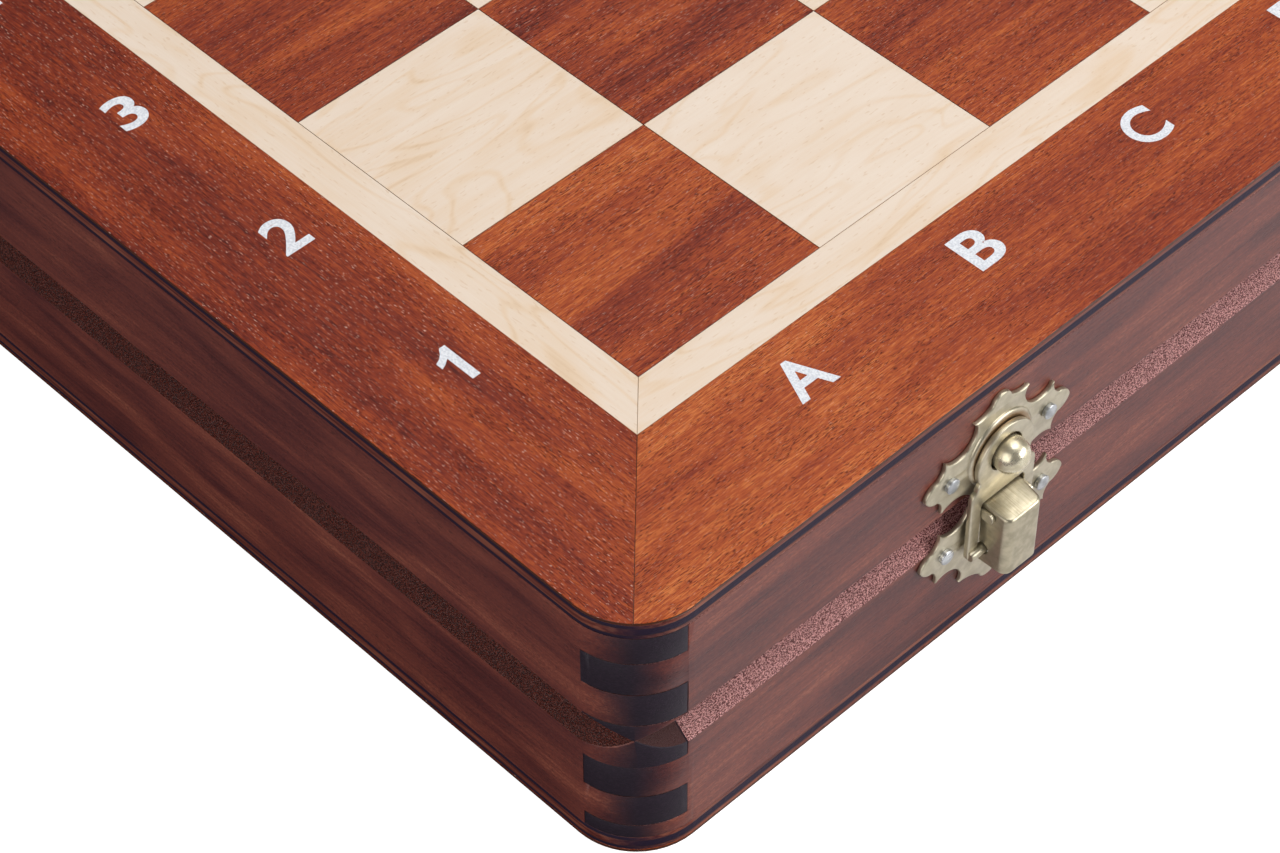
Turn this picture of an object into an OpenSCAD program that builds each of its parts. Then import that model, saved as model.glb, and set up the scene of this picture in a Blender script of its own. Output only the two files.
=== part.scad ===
// Folding chess case. Each half is a shallow tray whose outer face is half of the board.
// Closed, the two trays meet rim to rim and the men lie inside in fitted inserts.
// Origin: middle of the underside of the closed case, +X along the files, -Y at the latches.

/* [Playing field] */
// Side of one square
square_w = 35; // [32:0.5:42]
// Width of the light strip round the squares
strip_w = 7.4; // [4:0.2:10]
// Width of the dark border outside the strip
border_w = 26; // [20:0.5:34]
// Thickness of the veneer
veneer_t = 0.6; // [0.4:0.1:1]
// Hairline joint between two squares
joint_w = 0.05; // [0.02:0.01:0.1]

/* [Case] */
// Height of one half, from its playing face to its rim
half_h = 24.5; // [24:0.5:32]
// Thickness of the plywood panel under the veneer
ply_t = 2.6; // [2:0.1:4]
// Thickness of the four boards of each tray
board_t = 9.9; // [8:0.1:13]
// Radius of the two front corners
corner_r = 11; // [6:0.5:14]
// Width of the 45 degree bevel along the rims
bevel_w = 3.2; // [1:0.1:4]
// Gap between the two halves when they lie flat
fold_gap = 0.3; // [0.2:0.05:1]

/* [Finger joints] */
// Height of one finger
finger_h = 6.4; // [4:0.1:8]
// Height of the finger next to the panel, upper half
upper_first_finger = 5.2; // [2:0.1:8]
// Height of the finger next to the panel, lower half
lower_first_finger = 2.8; // [2:0.1:8]

/* [Hinges] */
// Distance from a side face to the middle of a hinge
hinge_inset = 66; // [40:1:110]
// Length of a hinge
hinge_len = 30; // [20:1:40]
// Width of a hinge leaf, from its knuckle inwards
leaf_w = 8; // [6:0.5:9]
// Thickness of a hinge leaf
leaf_t = 0.9; // [0.6:0.1:1.2]
// Diameter of the knuckle
knuckle_d = 4; // [3.2:0.1:5]
// Diameter of the hinge pin
hinge_pin_d = 1.8; // [1.2:0.1:2.4]
// Shank diameter of the hinge screws
screw_d = 1.6; // [1.2:0.1:2.4]
// Length of the hinge screws
screw_len = 8; // [5:0.5:12]

/* [Latches] */
// Distance from a side face to the middle of a latch
latch_inset = 69; // [40:1:110]
// Thickness of the latch plates
plate_t = 0.8; // [0.6:0.1:1.2]
// Distance between the two nails of a plate
nail_span = 19.8; // [18:0.2:22]
// Shank diameter of the nails
nail_d = 1; // [0.8:0.1:1.4]
// Head diameter of the nails
nail_head_d = 2.6; // [2:0.1:3.2]
// Length of a nail in the wood
nail_len = 6; // [4:0.5:8]
// Diameter of the ball stud
ball_d = 5.7; // [5:0.1:6.2]
// Height of the ball's centre above the split line
ball_z = 10.2; // [9:0.1:11.5]
// Width of the lever
lever_w = 7.2; // [6:0.1:9]
// Height of the lever below the split line
lever_drop = 9.8; // [9:0.1:12]
// How far the lever's front stands off the case
lever_out = 6.7; // [6.2:0.1:8]
// Thickness of the lever's sheet
lever_t = 0.7; // [0.5:0.1:1]
// Thickness of the ears that carry the lever
ear_t = 0.6; // [0.5:0.1:1]
// Diameter of the pin the lever turns on
lever_pin_d = 1.2; // [1:0.1:1.4]
// Diameter of the loop's two inward stubs
stub_d = 2; // [1.4:0.1:2.2]
// Thickness of the loop
loop_t = 0.9; // [0.6:0.1:1.1]
// Width of the loop's arms
loop_arm_w = 2.1; // [1.6:0.1:3]

/* [Chessmen] */
// Height of the king
king_h = 65; // [55:1:67]
// Base diameter of the king
king_base_d = 24; // [20:0.5:24.5]
// Height of the queen
queen_h = 58; // [48:1:62]
// Base diameter of the queen
queen_base_d = 23; // [19:0.5:24]
// Height of the bishop
bishop_h = 50; // [42:1:56]
// Base diameter of the bishop
bishop_base_d = 20.5; // [17:0.5:23]
// Height of the knight
knight_h = 45; // [38:1:50]
// Base diameter of the knight
knight_base_d = 20.5; // [17:0.5:23]
// Height of the rook
rook_h = 38; // [32:1:44]
// Base diameter of the rook
rook_base_d = 20; // [17:0.5:23]
// Height of the pawn
pawn_h = 34; // [28:1:38]
// Base diameter of the pawn
pawn_base_d = 18; // [15:0.5:20]

/* [Insert] */
// Height of the insert above the panel
insert_h = 14; // [10:0.5:15]
// Thickness left under the deepest recess
insert_floor = 0.5; // [0.3:0.1:1]
// Floor of the finger channel above the panel
channel_floor = 3.5; // [2:0.5:8]
// Distance from the tray wall to the bases of the men
row_margin = 4; // [2:0.5:8]
// How far the finger channel reaches under the heads
channel_reach = 6; // [0:1:12]
// Gap round the insert and round each man
insert_gap = 0.25; // [0.15:0.05:0.5]

/* [Hidden] */

$fn = 48;
cut = 1;              // how far a cutter runs past the face it cuts
files = 8;
ranks = 4;
run_gap = 0.05;       // radial play of a pin in its hole

field_w = files * square_w;
field_back = ranks * square_w;
margin_w = strip_w + border_w;
case_w = field_w + 2 * margin_w;
case_d = field_back + margin_w;
front_y = -case_d / 2;
back_y = case_d / 2;
side_x = case_w / 2;
field_y = front_y + margin_w;
panel_t = veneer_t + ply_t;
inner_w = case_w - 2 * board_t;
inner_d = case_d - 2 * board_t;

// ---------------------------------------------------------------- places

// Parts of a half are drawn with the playing face at z = 0 and the rim at half_h.
module place_half(upper) {
    if (upper) translate([0, 0, 2 * half_h]) mirror([0, 0, 1]) children();
    else children();
}

module case_outline() {
    translate([-side_x, front_y + corner_r]) square([case_w, case_d - corner_r]);
    translate([corner_r - side_x, front_y]) square([case_w - 2 * corner_r, 2 * corner_r]);
    for (side = [-1, 1])
        translate([side * (side_x - corner_r), front_y + corner_r]) circle(corner_r, $fn = 96);
}

// ---------------------------------------------------------------- tray boards

function first_finger(upper) = upper ? upper_first_finger : lower_first_finger;
function finger_z(upper, k) =
    k == 0 ? panel_t : min(half_h, panel_t + first_finger(upper) + (k - 1) * finger_h);
function finger_count(upper) = 1 + ceil((half_h - panel_t - first_finger(upper)) / finger_h);
// Fingers are counted from the panel. The side boards own every second one.
function side_owns(upper, k) = (k % 2 == 0) == upper;

// The corner blocks that belong to the side boards, or the ones that don't.
module corner_fingers(upper, of_side) {
    for (k = [0 : finger_count(upper) - 1]) if (side_owns(upper, k) == of_side) {
        z0 = finger_z(upper, k);
        z1 = finger_z(upper, k + 1);
        low = z0 == panel_t ? z0 - cut : z0;
        high = z1 == half_h ? z1 + cut : z1;
        for (x = [-side_x - cut, side_x - board_t], y = [front_y - cut, back_y - board_t])
            translate([x, y, low]) cube([board_t + cut, board_t + cut, high - low]);
    }
}

// Bevels along the front and both sides of a rim.
module rim_bevels() {
    profile = [[-cut, -bevel_w - cut], [-cut, cut], [bevel_w + cut, cut]];
    translate([-side_x - cut, front_y, half_h]) rotate([90, 0, 90])
        linear_extrude(case_w + 2 * cut) polygon(profile);
    for (side = [0, 1]) mirror([side, 0, 0])
        translate([-side_x, back_y + cut, half_h]) rotate([90, 0, 0])
            linear_extrude(case_d + 2 * cut) polygon(profile);
}

module long_board(upper, y) {
    difference() {
        intersection() {
            translate([-side_x, y, panel_t]) cube([case_w, board_t, half_h - panel_t]);
            linear_extrude(half_h) case_outline();
        }
        corner_fingers(upper, true);
        rim_bevels();
    }
}

module front_board(upper) {
    color("#6b3a33") difference() {
        place_half(upper) long_board(upper, front_y);
        for_each_latch() latch_holes(upper);
    }
}

module back_board(upper) {
    color("#6b3a33") place_half(upper) difference() {
        long_board(upper, back_y - board_t);
        hinge_cuts();
    }
}

module side_board(upper, side) {
    color("#643630") place_half(upper) mirror([side > 0 ? 1 : 0, 0, 0]) difference() {
        intersection() {
            translate([-side_x, front_y, panel_t]) cube([board_t, case_d, half_h - panel_t]);
            linear_extrude(half_h) case_outline();
        }
        corner_fingers(upper, false);
        rim_bevels();
    }
}

// ---------------------------------------------------------------- playing face

module plywood_panel(upper) {
    color("#8a5a3c") place_half(upper)
        translate([0, 0, veneer_t]) linear_extrude(ply_t) case_outline();
}

// The lower face carries the far four ranks, so its colours are the other way round.
function is_dark(upper, file, row) = ((file + row) % 2 == 0) == upper;

module squares(upper, dark) {
    color(dark ? "#8c3f22" : "#ecdcbe") place_half(upper)
        for (file = [0 : files - 1], row = [0 : ranks - 1]) if (is_dark(upper, file, row) == dark)
            translate([file * square_w - field_w / 2 + joint_w / 2,
                       field_y + row * square_w + joint_w / 2, 0])
                cube([square_w - joint_w, square_w - joint_w, veneer_t]);
}

// A mitred band along the front, from inner edge to outer edge.
module front_band(inner, outer) {
    linear_extrude(veneer_t) intersection() {
        polygon([[-field_w / 2 - inner, field_y - inner], [field_w / 2 + inner, field_y - inner],
                 [field_w / 2 + outer, field_y - outer], [-field_w / 2 - outer, field_y - outer]]);
        case_outline();
    }
}

module side_band(inner, outer, side) {
    mirror([side > 0 ? 1 : 0, 0, 0]) linear_extrude(veneer_t) intersection() {
        polygon([[-field_w / 2 - inner, field_y - inner], [-field_w / 2 - inner, back_y],
                 [-field_w / 2 - outer, back_y], [-field_w / 2 - outer, field_y - outer]]);
        case_outline();
    }
}

module front_strip(upper) { color("#f0dfbf") place_half(upper) front_band(0, strip_w); }
module side_strip(upper, side) { color("#f0dfbf") place_half(upper) side_band(0, strip_w, side); }
module front_border(upper) { color("#9a4a26") place_half(upper) front_band(strip_w, margin_w); }
module side_border(upper, side) {
    color("#94421f") place_half(upper) side_band(strip_w, margin_w, side);
}

// ---------------------------------------------------------------- hinges

hinge_y = back_y + fold_gap / 2;
knuckle_gap = 0.4;    // clearance of the knuckle in its notch
knuckles = 5;
knuckle_len = hinge_len / knuckles;
knuckle_play = 0.1;   // side play of each knuckle
leaf_back = hinge_y - knuckle_d / 2 - knuckle_gap;
leaf_front = hinge_y - knuckle_d / 2 - leaf_w;
screw_y = (leaf_front + leaf_back) / 2;
screw_head_d = 2 * screw_d;
screw_spread = hinge_len * 0.3;

module for_each_hinge() {
    for (side = [-1, 1]) translate([side * (side_x - hinge_inset), 0, 0]) children();
}

module hinge_axis(radius, len) {
    translate([-len / 2, hinge_y, half_h]) rotate([0, 90, 0]) cylinder(r = radius, h = len);
}

// Notch for the knuckle, recess for the leaf and pilot holes for the screws.
module hinge_cuts() {
    for_each_hinge() {
        hinge_axis(knuckle_d / 2 + knuckle_gap, hinge_len + 2 * knuckle_play);
        translate([-hinge_len / 2, leaf_front, half_h - leaf_t])
            cube([hinge_len, back_y - leaf_front + cut, leaf_t + cut]);
        for (side = [-1, 1]) translate([side * screw_spread, screw_y, half_h - screw_len])
            cylinder(d = screw_d, h = screw_len);
    }
}

module hinge_leaf(upper) {
    first = upper ? 1 : 0;
    difference() {
        union() {
            translate([-hinge_len / 2, leaf_front, half_h - leaf_t])
                cube([hinge_len, leaf_back - leaf_front, leaf_t]);
            for (k = [first : 2 : knuckles - 1]) {
                x = k * knuckle_len - hinge_len / 2 + knuckle_play;
                len = knuckle_len - 2 * knuckle_play;
                translate([x, leaf_back - cut, half_h - leaf_t])
                    cube([len, hinge_y - leaf_back + cut, leaf_t]);
                translate([x, hinge_y, half_h]) rotate([0, 90, 0]) cylinder(d = knuckle_d, h = len);
            }
        }
        hinge_axis(hinge_pin_d / 2 + (upper ? run_gap : 0), hinge_len + 2 * cut);
        for (side = [-1, 1]) translate([side * screw_spread, screw_y, half_h - leaf_t]) {
            translate([0, 0, -cut]) cylinder(d = screw_d, h = leaf_t + 2 * cut);
            cylinder(d1 = screw_d, d2 = screw_head_d, h = leaf_t);
        }
    }
}

module hinge_leaves(upper) {
    color("#c9a659") place_half(upper) for_each_hinge() hinge_leaf(upper);
}

module hinge_pins() {
    color("#b8964c") for_each_hinge() hinge_axis(hinge_pin_d / 2, hinge_len);
}

module hinge_screws(upper) {
    color("#c9a659") place_half(upper) for_each_hinge() for (side = [-1, 1])
        translate([side * screw_spread, screw_y, half_h - screw_len]) {
            cylinder(d = screw_d, h = screw_len - leaf_t);
            translate([0, 0, screw_len - leaf_t])
                cylinder(d1 = screw_d, d2 = screw_head_d, h = leaf_t);
        }
}

// ---------------------------------------------------------------- latches
// Drawn with x across, y towards the case and z up, 0 on the case's face at the split line.

ball_out = plate_t + 2.1;             // ball's centre off the case
boss_t = 0.5;                         // raised ring round the ball
boss_r = 6.4;
loop_back = plate_t + boss_t;         // back face of the loop off the case
loop_head_r = 5.65;
loop_head_z = ball_z - 0.6;
loop_hole_r = ball_d / 2 + 0.25;
side_gap = 0.1;                       // play between lever, ears and loop
loop_in = lever_w / 2 + ear_t + 2 * side_gap;
loop_out = loop_in + loop_arm_w;
pivot_z = 0.4;                        // lever's pin
pivot_out = 3.4;
lever_top = 2.1;
lever_top_front = 1.4;
window_top = lever_top + 0.55;
neck_z = 5.2;
stub_z = 2.7 - lever_drop;            // loop's stubs in the lever
stub_out = loop_back + stub_d / 2;
ear_r = 1.1;
stud_d = 2.4;                         // ball's shank
stud_depth = 2;                       // how far the shank goes into the wood
lower_nail_z = -4.8;
upper_nail_z = 10;
nail_x = nail_span / 2;

module for_each_latch() {
    for (side = [-1, 1])
        translate([side * (side_x - latch_inset), front_y, half_h]) children();
}

module at_latch(side) {
    translate([side * (side_x - latch_inset), front_y, half_h]) children();
}

// Flat shape in the x-z plane, standing from "from" to "to" off the case.
module standing(from, to) {
    translate([0, -from, 0]) rotate([90, 0, 0]) linear_extrude(to - from) children();
}

// Profile in the (off the case, z) plane, spread evenly across x.
module across(width) {
    translate([-width / 2, 0, 0]) rotate([90, 0, 90]) linear_extrude(width)
        mirror([1, 0]) children();
}

// Points of an arc from a to b that bulges by "sag" to the left of its way.
function arc(a, b, sag, n = 5) =
    let (mid = (a + b) / 2, half = norm(b - a) / 2, dir = (b - a) / norm(b - a),
         left = [-dir[1], dir[0]], r = (half * half + sag * sag) / (2 * sag),
         centre = mid + left * (sag - r), sweep = asin(half / abs(r)))
    [for (k = [0 : n - 1]) let (t = -sweep + 2 * sweep * k / n)
        centre + dir * abs(r) * sin(t) + left * sign(r) * abs(r) * cos(t)];

function mirrored(points) =
    concat(points, [for (k = [len(points) - 1 : -1 : 0]) if (points[k][0] > 0.01)
        [-points[k][0], points[k][1]]]);

// Forked arm with its three points, centred on height z, running down.
function arm_points(z) = concat(
    arc([nail_x + 1.1, z + 4.8], [nail_x + 2.4, z + 1.9], -0.35, 3),
    arc([nail_x + 2.4, z + 1.9], [nail_x + 4.8, z - 0.2], 0.4, 3),
    arc([nail_x + 4.8, z - 0.2], [nail_x + 2.4, z - 2.2], 0.4, 3),
    arc([nail_x + 2.4, z - 2.2], [nail_x + 1.4, z - 5.1], -0.35, 3));

function upper_plate_points() = mirrored(concat(
    arc([0, ball_z + 10.5], [1.8, ball_z + 9.1], 0.35, 3),
    arc([1.8, ball_z + 9.1], [5.5, ball_z + 8.2], -0.3, 4),
    arc([5.5, ball_z + 8.2], [4.9, ball_z + 5.9], -0.35, 3),
    arc([4.9, ball_z + 5.9], [nail_x + 1.1, upper_nail_z + 4.8], -1.9, 8),
    arm_points(upper_nail_z),
    arc([nail_x + 1.4, upper_nail_z - 5.1], [5.6, 4.3], -1.1, 6),
    [[5.6, 4.3], [4.4, 3.8], [0, 3.8]]));

function lower_plate_points() = mirrored(concat(
    [[0, 1], [5.2, 1]],
    arc([5.2, 1], [nail_x + 1.1, lower_nail_z + 4.8], -1.9, 8),
    arm_points(lower_nail_z),
    arc([nail_x + 1.4, lower_nail_z - 5.1], [6.1, lower_nail_z - 6.8], -1.3, 6),
    arc([6.1, lower_nail_z - 6.8], [6.1, lower_nail_z - 9.1], -0.35, 3),
    arc([6.1, lower_nail_z - 9.1], [1.7, lower_nail_z - 10.9], -0.3, 4),
    arc([1.7, lower_nail_z - 10.9], [0, lower_nail_z - 12.1], 0.3, 3),
    [[0, lower_nail_z - 12.1]]));

module both_nails(z) {
    for (side = [-1, 1]) translate([side * nail_x, 0, z]) children();
}

// A round along y, from "from" to "to" off the case.
module peg(d, from, to) {
    translate([0, -from, 0]) rotate([90, 0, 0]) cylinder(d = d, h = to - from);
}

module latch_holes(upper) {
    both_nails(upper ? upper_nail_z : lower_nail_z) peg(nail_d, -nail_len, cut);
    if (upper) translate([0, 0, ball_z]) peg(stud_d, -stud_depth, cut);
}

module upper_latch_plate() {
    difference() {
        union() {
            standing(0, plate_t) polygon(upper_plate_points());
            translate([0, 0, ball_z]) peg(2 * boss_r, plate_t / 2, loop_back);
        }
        both_nails(upper_nail_z) peg(nail_d, -cut, plate_t + cut);
        translate([0, 0, ball_z]) peg(stud_d, -cut, loop_back + cut);
    }
}

// The ball is flat underneath, where it sits on the plate's raised ring.
module ball_stud() {
    translate([0, 0, ball_z]) rotate([90, 0, 0]) {
        translate([0, 0, -stud_depth]) cylinder(d = stud_d, h = loop_back + stud_depth);
        intersection() {
            translate([0, 0, ball_out]) sphere(d = ball_d);
            translate([0, 0, loop_back]) cylinder(d = ball_d + 2, h = ball_d);
        }
    }
}

module ear() {
    translate([lever_w / 2 + side_gap, 0, 0]) rotate([90, 0, 90]) linear_extrude(ear_t) {
        translate([-pivot_out, pivot_z]) circle(ear_r);
        translate([-pivot_out, pivot_z - ear_r]) square([pivot_out - plate_t / 2, 2 * ear_r]);
    }
}

module lower_latch_plate() {
    difference() {
        union() {
            standing(0, plate_t) polygon(lower_plate_points());
            for (side = [0, 1]) mirror([side, 0, 0]) ear();
        }
        both_nails(lower_nail_z) peg(nail_d, -cut, plate_t + cut);
        translate([-lever_w, -pivot_out, pivot_z]) rotate([0, 90, 0])
            cylinder(d = lever_pin_d, h = 2 * lever_w);
    }
}

module nail() {
    peg(nail_d, -nail_len, plate_t + 0.1);
    translate([0, -plate_t, 0]) rotate([90, 0, 0]) intersection() {
        translate([0, 0, -nail_head_d * 0.3]) sphere(d = nail_head_d * 1.28);
        cylinder(d = nail_head_d, h = nail_head_d);
    }
}

module lever_side() {
    edge = 0.8;
    polygon([[pivot_out - 1.6, lever_top - 0.1], [pivot_out - 0.4, lever_top],
             [lever_out - edge, lever_top_front + 0.1], [lever_out - edge / 4, lever_top_front - edge / 3],
             [lever_out, lever_top_front - edge], [lever_out, edge - lever_drop],
             [lever_out - edge / 3, edge / 3 - lever_drop], [lever_out - edge, -lever_drop],
             [1.6, -lever_drop], [1.6, pivot_z - 1]]);
}

// Inside of the lever, open at the back and at the bottom.
module lever_hollow() {
    inside = lever_out - lever_t;
    polygon([[0, -lever_drop - cut], [0, pivot_z - 1], [pivot_out, lever_top - 2 * lever_t],
             [inside - 1, lever_top_front - lever_t - 0.3], [inside, lever_top_front - lever_t - 1],
             [inside, -lever_drop - cut]]);
}

module lever() {
    difference() {
        across(lever_w) lever_side();
        across(lever_w - 2 * lever_t) lever_hollow();
        translate([-lever_w, -pivot_out, pivot_z]) rotate([0, 90, 0])
            cylinder(d = lever_pin_d + 2 * run_gap, h = 2 * lever_w);
        translate([-lever_w, -stub_out, stub_z]) rotate([0, 90, 0])
            cylinder(d = stub_d + 2 * run_gap, h = 2 * lever_w);
    }
}

module loop_outline() {
    translate([0, loop_head_z]) circle(loop_head_r);
    translate([-5, window_top]) square([10, loop_head_z - window_top]);
    for (side = [-1, 1]) mirror([side > 0 ? 0 : 1, 0])
        polygon([[0, window_top], [loop_in, window_top], [loop_in, stub_z], [loop_out, stub_z],
                 [loop_out, neck_z - 0.8], [loop_out - 0.8, neck_z], [0, neck_z]]);
}

module loop() {
    difference() {
        union() {
            standing(loop_back, loop_back + loop_t) loop_outline();
            for (side = [0, 1]) mirror([side, 0, 0])
                translate([lever_w / 2 - lever_t - 0.2, -stub_out, stub_z]) rotate([0, 90, 0])
                    cylinder(d = stub_d, h = loop_out - lever_w / 2 + lever_t + 0.2);
        }
        translate([0, 0, ball_z]) peg(2 * loop_hole_r, loop_back - cut, loop_back + loop_t + cut);
    }
}

module lower_latch_plates() { color("#b7ad8f") for_each_latch() lower_latch_plate(); }
module upper_latch_plates() { color("#b7ad8f") for_each_latch() upper_latch_plate(); }
module ball_studs() { color("#c9bd92") for_each_latch() ball_stud(); }
module lower_plate_nails() { color("#c9c7c2") for_each_latch() both_nails(lower_nail_z) nail(); }
module upper_plate_nails() { color("#c9c7c2") for_each_latch() both_nails(upper_nail_z) nail(); }
module lever_pins() {
    color("#9c9379") for_each_latch()
        translate([-lever_w / 2 - ear_t - side_gap, -pivot_out, pivot_z]) rotate([0, 90, 0])
            cylinder(d = lever_pin_d, h = lever_w + 2 * (ear_t + side_gap));
}
module latch_lever(side) { color("#bdb394") at_latch(side) lever(); }
module latch_loop(side) { color("#b7ad8f") at_latch(side) loop(); }

// ---------------------------------------------------------------- chessmen
// Each man stands on z = 0 with its axis on z. A man is [name, height, base diameter, reach],
// where reach is the radius that its head needs in the insert.

men_pitch = (inner_w - king_base_d - 4 * insert_gap - 2) / (files - 0.5);
stagger = men_pitch / 4;

function axis_z(base_d) = panel_t + insert_floor + insert_gap + base_d / 2;

// Turned foot and stem, from the base up to a neck of radius neck_r at height neck_z.
function stem(base_r, neck_r, top_z) =
    let (foot = base_r * 0.2)
    concat([[0, 0], [base_r - 0.4, 0], [base_r, 0.5], [base_r, foot], [base_r * 0.86, foot + 0.9],
            [base_r * 0.86, foot + 1.7]],
           [for (k = [0 : 7]) let (t = k / 7)
               [neck_r + (base_r * 0.74 - neck_r) * pow(1 - t, 2.2),
                foot + 1.8 + (top_z - foot - 1.8) * t]]);

function collar(r, z) = [[r * 0.8, z], [r, z + 0.5], [r, z + 1], [r * 0.7, z + 1.6]];

// Upper part of a circle of radius r centred at height z, from angle a up to b.
function ball_points(r, z, a, b, n = 9) =
    [for (k = [0 : n]) let (t = a + (b - a) * k / n) [max(0, r * cos(t)), z + r * sin(t)]];

module turned(points) { rotate_extrude($fn = 64) polygon(points); }

module pawn() {
    r = pawn_base_d / 2;
    head = r * 0.56;
    turned(concat(stem(r, r * 0.33, pawn_h - 2 * head - 1.5), collar(r * 0.58, pawn_h - 2 * head - 1.5),
                  ball_points(head, pawn_h - head, -50, 90)));
}

module rook() {
    r = rook_base_d / 2;
    top = rook_h - 8;
    difference() {
        turned(concat(stem(r, r * 0.5, top - 2), collar(r * 0.72, top - 2),
                      [[r * 0.68, top + 1.5], [r * 0.74, rook_h], [r * 0.5, rook_h],
                       [r * 0.5, rook_h - 2.6], [0, rook_h - 2.6]]));
        for (a = [0 : 60 : 120]) rotate([0, 0, a])
            translate([-r, -0.8, rook_h - 2.4]) cube([2 * r, 1.6, 3]);
    }
}

module bishop() {
    r = bishop_base_d / 2;
    neck = bishop_h - 17;
    difference() {
        turned(concat(stem(r, r * 0.32, neck), collar(r * 0.62, neck), collar(r * 0.44, neck + 1.6),
                      [[r * 0.3, neck + 3.4], [r * 0.46, neck + 6], [r * 0.5, neck + 8],
                       [r * 0.43, neck + 10.4], [r * 0.26, neck + 12.8], [r * 0.14, neck + 13.8]],
                      ball_points(1.7, bishop_h - 1.7, -60, 90, 6)));
        translate([0.6, -r, neck + 9]) rotate([0, 55, 0]) cube([8, 2 * r, 0.9]);
    }
}

module queen() {
    r = queen_base_d / 2;
    neck = queen_h - 18;
    difference() {
        turned(concat(stem(r, r * 0.32, neck), collar(r * 0.62, neck), collar(r * 0.46, neck + 1.8),
                      [[r * 0.34, neck + 3.6], [r * 0.4, neck + 8], [r * 0.6, neck + 13.4],
                       [r * 0.5, neck + 14.6], [r * 0.3, neck + 15.2]],
                      ball_points(1.8, queen_h - 1.8, -50, 90, 6)));
        for (a = [0 : 45 : 315]) rotate([0, 0, a])
            translate([r * 0.62, 0, neck + 14.6]) sphere(r = 1.3, $fn = 24);
    }
}

module king() {
    r = king_base_d / 2;
    neck = king_h - 21.5;
    turned(concat(stem(r, r * 0.33, neck), collar(r * 0.64, neck), collar(r * 0.48, neck + 1.9),
                  [[r * 0.36, neck + 3.8], [r * 0.42, neck + 8.5], [r * 0.58, neck + 13.2],
                   [r * 0.5, neck + 14], [r * 0.2, neck + 15.4], [0, neck + 15.6]]));
    translate([-1.1, -0.9, neck + 15]) cube([2.2, 1.8, 6.5]);
    translate([-2.9, -0.9, neck + 17.3]) cube([5.8, 1.8, 2.2]);
}

module knight() {
    r = knight_base_d / 2;
    s = (knight_h - 10) / 35;
    turned([[0, 0], [r - 0.4, 0], [r, 0.5], [r, r * 0.2], [r * 0.86, r * 0.2 + 0.9],
            [r * 0.86, r * 0.2 + 1.7], [r * 0.7, 6.5], [r * 0.62, 8], [r * 0.74, 8.8], [r * 0.74, 9.8],
            [r * 0.6, 10.4], [0, 10.4]]);
    translate([0, r * 0.4, 10]) rotate([90, 0, 0]) linear_extrude(r * 0.8) scale(s) polygon(concat(
        [[-5.5, 0], [-6.2, 4]],
        arc([-6.2, 4], [-8.2, 16], -1.6, 5), arc([-8.2, 16], [-2.5, 30], 2.6, 6),
        [[-2.5, 30], [-0.8, 35], [1.2, 30.5], [4.6, 27.5], [8.2, 21], [9.4, 18.4], [8.8, 16], [6.6, 15.2],
         [4.4, 17.2]],
        arc([4.4, 17.2], [1.8, 13.5], 0.8, 3), arc([1.8, 13.5], [6, 0], 2.2, 6), [[6, 0]]));
}

// Files from the left that a kind of man stands on in its row.
function row_x(upper, file) = (file - (files - 1) / 2) * men_pitch + (upper ? stagger : -stagger);

// Lays a man in the first row, its base at the front, or a pawn in the second, its base at the back.
module lay_piece(upper, file, base_d) {
    place_half(upper) translate([row_x(upper, file), row_margin - inner_d / 2, axis_z(base_d)])
        rotate([-90, 0, 0]) children();
}
module lay_pawn(upper, file) {
    place_half(upper) translate([row_x(upper, file), inner_d / 2 - row_margin, axis_z(pawn_base_d)])
        rotate([90, 0, 0]) children();
}

module men_colour(upper) { color(upper ? "#e2c48e" : "#6a3420") children(); }
module kings(upper) { men_colour(upper) lay_piece(upper, 4, king_base_d) king(); }
module queens(upper) { men_colour(upper) lay_piece(upper, 3, queen_base_d) queen(); }
module bishops(upper) {
    men_colour(upper) for (file = [2, 5]) lay_piece(upper, file, bishop_base_d) bishop();
}
module knights(upper) {
    men_colour(upper) for (file = [1, 6]) lay_piece(upper, file, knight_base_d) knight();
}
module rooks(upper) {
    men_colour(upper) for (file = [0, 7]) lay_piece(upper, file, rook_base_d) rook();
}
module pawns(upper) { men_colour(upper) for (file = [0 : files - 1]) lay_pawn(upper, file) pawn(); }

// ---------------------------------------------------------------- insert

module trough(radius, from, to) {
    translate([0, 0, from]) cylinder(r = radius, h = to - from);
    translate([-radius, -2 * insert_h, from]) cube([2 * radius, 2 * insert_h, to - from]);
}

// Recess for a man on the z axis whose open side faces -y.
module recess(height, base_d, reach) {
    trough(base_d / 2 + insert_gap, -insert_gap, base_d * 0.1 + 3);
    trough(reach + insert_gap, 0, height + 2 * insert_gap);
}

channel_front = row_margin - inner_d / 2 + king_h - channel_reach;
channel_back = inner_d / 2 - row_margin - pawn_h + channel_reach;

module insert(upper) {
    color("#4a2a22") place_half(upper) difference() {
        translate([insert_gap - inner_w / 2, insert_gap - inner_d / 2, panel_t])
            cube([inner_w - 2 * insert_gap, inner_d - 2 * insert_gap, insert_h]);
        row_recess(upper, [0, 7], rook_h, rook_base_d, rook_base_d * 0.38);
        row_recess(upper, [1, 6], knight_h, knight_base_d, knight_base_d * 0.5);
        row_recess(upper, [2, 5], bishop_h, bishop_base_d, bishop_base_d * 0.38);
        row_recess(upper, [3], queen_h, queen_base_d, queen_base_d * 0.38);
        row_recess(upper, [4], king_h, king_base_d, king_base_d * 0.38);
        for (file = [0 : files - 1])
            translate([row_x(upper, file), inner_d / 2 - row_margin, axis_z(pawn_base_d)])
                rotate([90, 0, 0]) mirror([0, 1, 0]) recess(pawn_h, pawn_base_d, pawn_base_d * 0.4);
        translate([-inner_w, channel_front, panel_t + channel_floor])
            cube([2 * inner_w, channel_back - channel_front, insert_h]);
    }
}

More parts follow.
